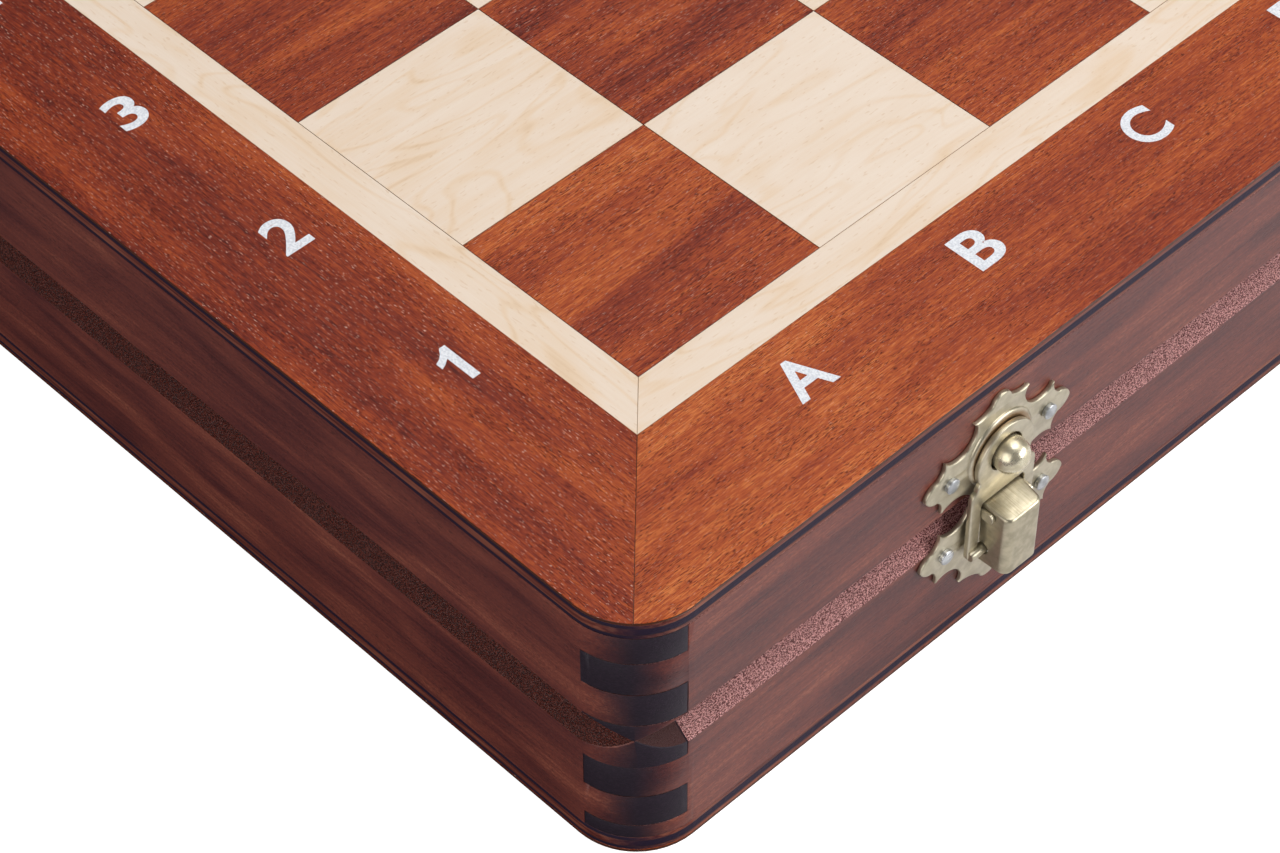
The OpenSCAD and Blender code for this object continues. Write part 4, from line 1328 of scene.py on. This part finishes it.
ring_hole = round_hole(0, ball_z / mm, hole_r, 56)
flat = sheet_metal("loop", loop_outline(), [ring_hole], loop_back, loop_back + loop_t, loop_edge, standing)
one_loop = joined_parts("loop", [flat, loop_stub(-1), loop_stub(1)])
for side, word in ((-1, "left"), (1, "right")):
    node = word + "_loop"
    add_piece(node + "_stamped", on_latch(one_loop, side), latch_steel, node + "_ring", "latch_metal", node)

# ------------------------------------------------------------------ inserts
# A rigid block with a recess for each man and a channel for the fingers, covered in green
# flock. One is glued into each tray, up to the fold.

insert_edge = 0.45 * mm
flock_shades = ((14, 38, 22), (26, 62, 36), (40, 84, 50))


def flock_finish():
    """A short dull nap, brushed this way and that in patches."""
    made, tree, place, normal = new_finish("green_flock")
    nap = patches(tree, place, (0.45, 0.45, 0.45))
    brushed = patches(tree, place, (14, 14, 14), 3.0, 0.8)
    tone = summed(tree, 0.0, (band(tree, brushed, 0.3, 0.7), 0.6), (band(tree, nap, 0.3, 0.7), 0.4))
    dress(tree, shades(tree, tone, flock_shades), band(tree, nap, 0.3, 0.7, 0.85, 1.0), nap, 0.12,
          Sheen_Weight=0.5, Sheen_Roughness=0.5)
    return made


flock = flock_finish()
for half in halves:
    node = half + "_insert"
    add_piece(node + "_flocked", eased(node, node, insert_edge, 3), flock, half + "_half",
              "flocked_insert", node)

# ------------------------------------------------------------------ chessmen
# Thirty-two men of the Staunton kind, turned from hornbeam on a lathe and polished, the dark ones
# stained. The knights' heads are carved by hand. Each man has a disc of green felt on its foot.

turning_steps = 64
felt_shades = ((12, 40, 24), (28, 74, 44))


def arc_points(r, z, start, end, steps=12):
    """Points on a circle of radius r round height z, from one angle up to another. The men's own
    sizes are in millimetres: h is a man's height and r the radius of its foot."""
    angles = (math.radians(start + (end - start) * k / steps) for k in range(steps + 1))
    return [(max(r * math.cos(a), 0.0), z + r * math.sin(a)) for a in angles]


def bead(r, z, height):
    """A rounded ring of radius r, from height z up."""
    angles = (math.pi * (k / 10 - 0.5) for k in range(11))
    return [(r - height / 2 + height / 2 * math.cos(a), z + height / 2 * (1 + math.sin(a))) for a in angles]


def foot(r):
    """The round foot that every man stands on, with a step and a bead above it."""
    rim = r * 0.2
    lower = [(0, 0), (r - 0.6, 0)] + [(r - 0.5 + 0.5 * math.cos(a), 0.5 + 0.5 * math.sin(a))
                                      for a in (math.pi / 2 * (k / 5 - 1) for k in range(6))]
    return (lower + [(r - 0.4 + 0.4 * math.cos(a), rim - 0.4 + 0.4 * math.sin(a))
                     for a in (math.pi / 2 * k / 5 for k in range(6))]
            + [(r * 0.9, rim + 0.05), (r * 0.88, rim + 0.3)] + bead(r * 0.88, rim + 0.5, 1.2)
            + [(r * 0.76, rim + 1.75)])


def stem(r, neck_r, top):
    """The foot, and a stem that sweeps up from it to a neck."""
    start = r * 0.2 + 1.8
    sweep = [(neck_r + (r * 0.74 - neck_r) * (1 - t) ** 2.2, start + (top - start) * t)
             for t in (k / 20 for k in range(21))]
    return foot(r) + sweep


def collar(r, z):
    """Two rings one on the other, the lower thin and wide."""
    return bead(r, z, 1.0) + bead(r * 0.84, z + 1.02, 0.7)


def turned_man(name, profile):
    return lathe(name, [(radius * mm, height * mm) for radius, height in profile], turning_steps)


def cut_by(mesh, cutters):
    """The mesh with loose shapes cut out of it."""
    made = trimmed(template(mesh), [template(cutter) for cutter in cutters])
    made.set_sharp_from_angle(angle=math.radians(40))
    return made


def placed(mesh, matrix):
    mesh.transform(matrix)
    return mesh


def pawn(h, r):
    head = r * 0.56
    neck = h - 2 * head - 1.5
    return turned_man("pawn", stem(r, r * 0.33, neck) + collar(r * 0.58, neck)
                      + arc_points(head, h - head, -48, 90, 20))


def rook(h, r):
    top = h - 8
    walls = [(r * 0.68, top + 1.5), (r * 0.69, h - 4)] + bead(r * 0.745, h - 3.9, 0.5)
    walls += [(r * 0.74, h - 0.2), (r * 0.72, h), (r * 0.52, h), (r * 0.5, h - 0.2), (r * 0.5, h - 2.6),
              (r * 0.2, h - 2.5), (0, h - 2.4)]
    tower = turned_man("rook", stem(r, r * 0.5, top - 2) + collar(r * 0.72, top - 2) + walls)
    gaps = [placed(eased_block("gap", (2 * r * mm, 1.6 * mm, 3 * mm), 0.05 * mm),
                   Matrix.Rotation(math.radians(turn), 4, "Z") @ Matrix.Translation((0, 0, (h - 0.9) * mm)))
            for turn in (0, 60, 120)]
    return cut_by(tower, gaps)


def bishop(h, r):
    neck = h - 17
    mitre = [(r * 0.3, neck + 3.4)]
    mitre += [(r * 0.5 * math.sin(a) ** 0.8 + r * 0.06, neck + 8.2 - 5.4 * math.cos(a))
              for a in (math.pi * (0.2 + 0.74 * k / 20) for k in range(21))]
    body = turned_man("bishop", stem(r, r * 0.32, neck) + collar(r * 0.62, neck)
                      + bead(r * 0.44, neck + 1.9, 0.9) + mitre + arc_points(1.7, h - 1.7, -60, 90))
    slit = placed(eased_block("slit", (8 * mm, 2 * r * mm, 0.9 * mm), 0.05 * mm),
                  Matrix.Translation((0.6 * mm, 0, (neck + 9) * mm))
                  @ Matrix.Rotation(math.radians(55), 4, "Y") @ Matrix.Translation((4 * mm, 0, 0.45 * mm)))
    return cut_by(body, [slit])


def queen(h, r):
    neck = h - 18
    cup = [(r * (0.34 + 0.28 * t ** 2.2), neck + 3.6 + 9.6 * t) for t in (k / 14 for k in range(15))]
    cup += [(r * 0.62, neck + 13.6), (r * 0.58, neck + 14.5), (r * 0.46, neck + 14.2),
            (r * 0.38, neck + 14.6), (r * 0.3, neck + 15)]
    body = turned_man("queen", stem(r, r * 0.32, neck) + collar(r * 0.62, neck)
                      + bead(r * 0.46, neck + 2, 0.9) + cup + arc_points(1.8, h - 1.8, -50, 90))
    ball = [(x * mm, z * mm) for x, z in arc_points(1.3, 0, -90, 90, 8)]
    scallops = [placed(lathe("scallop", ball, 16), Matrix.Rotation(turn * math.pi / 4, 4, "Z")
                       @ Matrix.Translation((r * 0.6 * mm, 0, (neck + 14.9) * mm))) for turn in range(8)]
    return cut_by(body, scallops)


def king(h, r):
    neck = h - 21.5
    cup = [(r * (0.36 + 0.22 * t ** 1.8), neck + 3.8 + 9.4 * t) for t in (k / 14 for k in range(15))]
    cup += bead(r * 0.6, neck + 13.2, 0.9) + [(r * 0.5, neck + 14.3), (r * 0.36, neck + 14.9),
                                              (r * 0.2, neck + 15.4), (0, neck + 15.6)]
    body = turned_man("king", stem(r, r * 0.33, neck) + collar(r * 0.64, neck)
                      + bead(r * 0.48, neck + 2.1, 0.9) + cup)
    low, middle, half_bar, half_post = neck + 15, neck + 18.4, 2.9, 1.1
    quarter = [(0.6, h), (half_post, h - 0.1), (0.7, middle + 1), (half_bar, middle + half_post),
               (half_bar, middle - half_post), (0.7, middle - 1), (half_post + 0.1, low), (0, low)]
    outline = [Vector((0, h))] + [Vector(p) for p in quarter]
    cross = sheet_metal("cross", mirrored(outline), [], -0.9 * mm, 0.9 * mm, 0.25 * mm, standing)
    return joined_parts("king", [body, cross])


def knight_outline(s):
    """The horse's head from the side: back, ears, face, muzzle, chin, throat and chest."""
    back = arc((-6.2, 4), (-8.2, 16), -1.6, 8) + arc((-8.2, 16), (-2.5, 30), 2.6, 10)
    face = [(-2.5, 30), (-1.9, 33), (-0.8, 35), (0.3, 33), (1.2, 30.8), (2.9, 29.4), (4.6, 27.3),
            (6.2, 24.4), (8.0, 21), (9.2, 19.4), (9.5, 17.6), (8.7, 16), (7.5, 15.3), (6.3, 15.5),
            (5.2, 16.5), (4.2, 17.1)]
    throat = arc((4.2, 17.1), (1.8, 13.5), 0.8, 5) + arc((1.8, 13.5), (6, 0), 2.2, 10)
    points = [Vector((-5.5, -0.4)), *back, *(Vector(p) for p in face), *throat, Vector((6, -0.4))]
    return [(p[0] * s, p[1] * s) for p in points]


def knight_head(h, r):
    """The carved head: an outline with thickness, rounded, thinned to the muzzle, with a cut mane."""
    s = (h - 10) / 35
    shape = bmesh.new()
    half_t = r * 0.4
    ring = [shape.verts.new((x * mm, -half_t * mm, z * mm)) for x, z in knight_outline(s)]
    side = shape.faces.new(ring)
    made = bmesh.ops.extrude_face_region(shape, geom=[side])
    for item in made["geom"]:
        if isinstance(item, bmesh.types.BMVert):
            item.co.y = half_t * mm
    bmesh.ops.recalc_face_normals(shape, faces=shape.faces)
    host = template(mesh_of(shape, "knight_head"))
    grid = host.modifiers.new("grid", "REMESH")
    grid.mode = "VOXEL"
    grid.voxel_size = 0.42 * mm
    soft = host.modifiers.new("soft", "SMOOTH")
    soft.factor = 0.5
    soft.iterations = 10
    mesh = baked(host)

    def within(value, low, high):
        t = min(max((value - low) / (high - low), 0.0), 1.0)
        return t * t * (3 - 2 * t)

    for vertex in mesh.vertices:
        x, z = vertex.co.x / (mm * s), vertex.co.z / (mm * s)
        width = 1.0 - 0.3 * within(z, 10, 30) - 0.28 * within(x, 2, 9) * within(z, 12, 16)
        width -= 0.35 * within(z, 29.5, 31) * (1 - within(abs(vertex.co.y / mm) / half_t, 0.3, 0.7))
        crest = -6.2 - 2.2 * math.sin(math.pi * within(z, 4, 24)) + 5.5 * within(z, 22, 31)
        mane = 1 - within(x - crest, 2.4, 3.8)
        lock = 0.5 + 0.5 * math.sin(2 * math.pi * (z + 0.55 * x) / 2.7)
        width -= mane * (0.05 + 0.17 * lock) * within(z, 3, 6) * (1 - within(z, 29, 31))
        eye = math.hypot(x - 1.6, z - 26.2)
        width -= 0.16 * (1 - within(eye, 0.9, 1.9)) - 0.2 * (1 - within(eye, 0.2, 0.9))
        nostril = math.hypot(x - 7.9, z - 18.9)
        width -= 0.22 * (1 - within(nostril, 0.3, 0.9))
        mouth = abs((z - 16.9) - 0.35 * (x - 6.5))
        width -= 0.2 * (1 - within(mouth, 0.15, 0.5)) * within(x, 5.2, 6.2)
        jaw = abs(math.hypot(x - 1.4, z - 20.4) - 3.6)
        width -= 0.07 * (1 - within(jaw, 0.3, 1.1)) * within(x, 0, 1) * (1 - within(z, 20, 23))
        vertex.co.y *= width
    for face in mesh.polygons:
        face.use_smooth = True
    mesh.transform(Matrix.Translation((0, 0, 10 * mm)))
    return mesh


def knight(h, r):
    base = turned_man("knight", foot(r) + [(r * 0.72, r * 0.2 + 2.4), (r * 0.64, 6.2), (r * 0.6, 7.6)]
                      + bead(r * 0.75, 8.3, 1.6) + [(r * 0.66, 10.1), (r * 0.6, 10.4), (0, 10.5)])
    return joined_parts("knight", [base, knight_head(h, r)])


def row_of_men():
    """Geometry nodes: men of one kind at equal steps along a row."""
    tree, given = growing_tree("row_of_men", "Men", Man="Object", Count="Int", First="Vector",
                               Step="Vector", Turned="Vector", Finish="Material")
    line = points_in_line(tree, given["Count"], given["First"], given["Step"])
    row = copies(tree, line, shape_of(tree, given["Man"]), Rotation=rotation(tree, given["Turned"]))
    return handed_out(tree, "Men", row, given["Finish"])


def men_finish(name, colours, pore_shade):
    """Fine even grain along the man, faint turning lines, a warm polish, and felt underneath."""
    made, tree, place, normal = new_finish(name)
    wood = grain_of(tree, turned_place(tree, place, "Y"), 3.5, 1.0, 0.1, 0.4)
    turning = patches(tree, place, (30, 0.16, 30), 1.0)
    tone = summed(tree, 0.0, (wood["Ribbon"], 0.5), (wood["Streak"], 0.5))
    colour = shades(tree, tone, colours)
    colour = stained(tree, times(tree, wood["Pores"], 0.4), colour, srgb(*pore_shade))
    off_middle = maths(tree, "ABSOLUTE", along(tree, place)[1])
    under = times(tree, maths(tree, "GREATER_THAN", off_middle, men_base_y - 0.05 * mm),
                  band(tree, facing(tree, normal, 1), 0.9, 0.95))
    felt = stained(tree, patches(tree, place, (0.3, 0.3, 0.3)), *map_srgb(felt_shades))
    polish = summed(tree, 0.24, (wood["Pores"], 0.2))
    dress(tree, stained(tree, under, colour, felt), picked(tree, under, polish, 0.95),
          maths(tree, "SUBTRACT", turning, wood["Pores"]), 0.02, Coat_Weight=0.3, Coat_Roughness=0.15)
    return made


men_base_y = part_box("dark_pawns")[1].y
men_tree = row_of_men()
men_kinds = {"king": (king, 1), "queen": (queen, 1), "bishops": (bishop, 2), "knights": (knight, 2),
             "rooks": (rook, 2), "pawns": (pawn, 8)}
men_finishes = {
    "dark": men_finish("dark_men", ((44, 12, 8), (78, 26, 16), (112, 44, 26)), (24, 6, 4)),
    "light": men_finish("light_men", ((196, 150, 88), (222, 182, 118), (236, 204, 146)), (168, 116, 60))}
for kind, (make, count) in men_kinds.items():
    low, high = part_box("dark_" + kind)
    height, base_r = (high.y - low.y) / mm, (high.z - low.z) / 2 / mm
    man = template(make(height, base_r))
    for tone, half in (("dark", "lower"), ("light", "upper")):
        node = f"{tone}_{kind}"
        low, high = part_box(node)
        step = (high.x - low.x - 2 * base_r * mm) / max(count - 1, 1)
        base_y, turn = (high.y, math.pi / 2) if kind == "pawns" else (low.y, -math.pi / 2)
        values = {"Man": man, "Count": count,
                  "First": (low.x + base_r * mm, base_y, (low.z + high.z) / 2),
                  "Step": (step, 0.0, 0.0), "Turned": (turn, 0.0, 0.0), "Finish": men_finishes[tone]}
        add_piece(node + "_turned", grown(node, men_tree, values), None, half + "_half", tone + "_men", node)
    bpy.data.objects.remove(man)

# ------------------------------------------------------------------ studio
# A wide sheet of pale paper, a broad soft light overhead, and three weaker ones from the left,
# the front right and the back. A long lens looks down on the corner with the nearer latch.

floor_drop = 0.05 * mm
floor_size = 6.0
paper_shades = ((236, 236, 236), (244, 244, 244))
bounce_shade = (150, 150, 150)
mirrored_shades = ((110, 100, 104), (236, 236, 238))
paper_glow = 0.85
soft_lights = {"key": ((0.35, -0.2, 1.2), (1.0, 1.0), 10.4),
               "left_fill": ((-1.2, -0.3, 0.4), (1.0, 1.0), 8.0),
               "right_front": ((0.7, -1.2, 0.55), (1.2, 0.6), 15.0),
               "back_right": ((0.8, 0.85, 1.25), (0.9, 0.9), 2.4)}
air_strength = 0.1


def paper_finish():
    """Paper that looks white, yet lights the case only a little, and reads darker to the left in
    the shine of the metal."""
    made, tree, place, normal = new_finish("studio_paper")
    tooth = patches(tree, place, (3, 3, 3))
    rays = put(tree, "ShaderNodeLightPath").outputs
    seen = rays["Is Camera Ray"]
    sweep = stained(tree, band(tree, along(tree, place)[0], -side_x, 20 * mm - side_x),
                    *map_srgb(mirrored_shades))
    unseen = stained(tree, rays["Is Glossy Ray"], srgb(*bounce_shade), sweep)
    shown = stained(tree, tooth, *map_srgb(paper_shades))
    dress(tree, stained(tree, seen, unseen, shown), 0.9, Specular_IOR_Level=0.1,
          Emission_Color=(1, 1, 1, 1), Emission_Strength=times(tree, seen, paper_glow))
    return made


def studio_floor():
    half_w = floor_size / 2
    mesh = bpy.data.meshes.new("studio_floor")
    corners = [(a * half_w, b * half_w, -floor_drop) for a, b in ((-1, -1), (1, -1), (1, 1), (-1, 1))]
    mesh.from_pydata(corners, [], [(0, 1, 2, 3)])
    mesh.materials.append(paper_finish())
    in_scene("studio_floor", mesh)


def soft_light(name, place, size, power):
    """A broad lamp that faces the middle of the case."""
    light = bpy.data.lights.new(name, "AREA")
    light.shape = "RECTANGLE"
    light.size, light.size_y = size
    light.energy = power
    lamp = in_scene(name, light)
    lamp.location = place
    lamp.rotation_euler = (-Vector(place)).to_track_quat("-Z", "Y").to_euler()


studio_floor()
for name, (place, size, power) in soft_lights.items():
    soft_light(name, place, size, power)

world = bpy.data.worlds.new("studio_air")
world.use_nodes = True
air = {"Color": (1.0, 1.0, 1.0, 1.0), "Strength": air_strength}
fill(world.node_tree, world.node_tree.nodes["Background"], air)
bpy.context.scene.world = world
bpy.context.scene.view_settings.view_transform = "Standard"

azimuth, elevation, tilt = (math.radians(a) for a in (-43.824, 47.604, -0.463))
aim = Vector((27.3 * mm - side_x, front_y + 26.8 * mm, case_h))
camera_distance = 494.3 * mm
back = Vector((math.sin(azimuth) * math.cos(elevation), -math.cos(azimuth) * math.cos(elevation),
               math.sin(elevation)))
level = Vector((math.cos(azimuth), math.sin(azimuth), 0))
right = level * math.cos(tilt) + back.cross(level) * math.sin(tilt)
above = back.cross(right)
lens = bpy.data.cameras.new("camera")
lens.sensor_width = 36
lens.lens = 104.93
lens.clip_start = 0.02
camera = in_scene("camera", lens)
turn = Matrix((right, above, back)).transposed().to_4x4()
camera.matrix_world = Matrix.Translation(aim + back * camera_distance) @ turn
bpy.context.scene.camera = camera
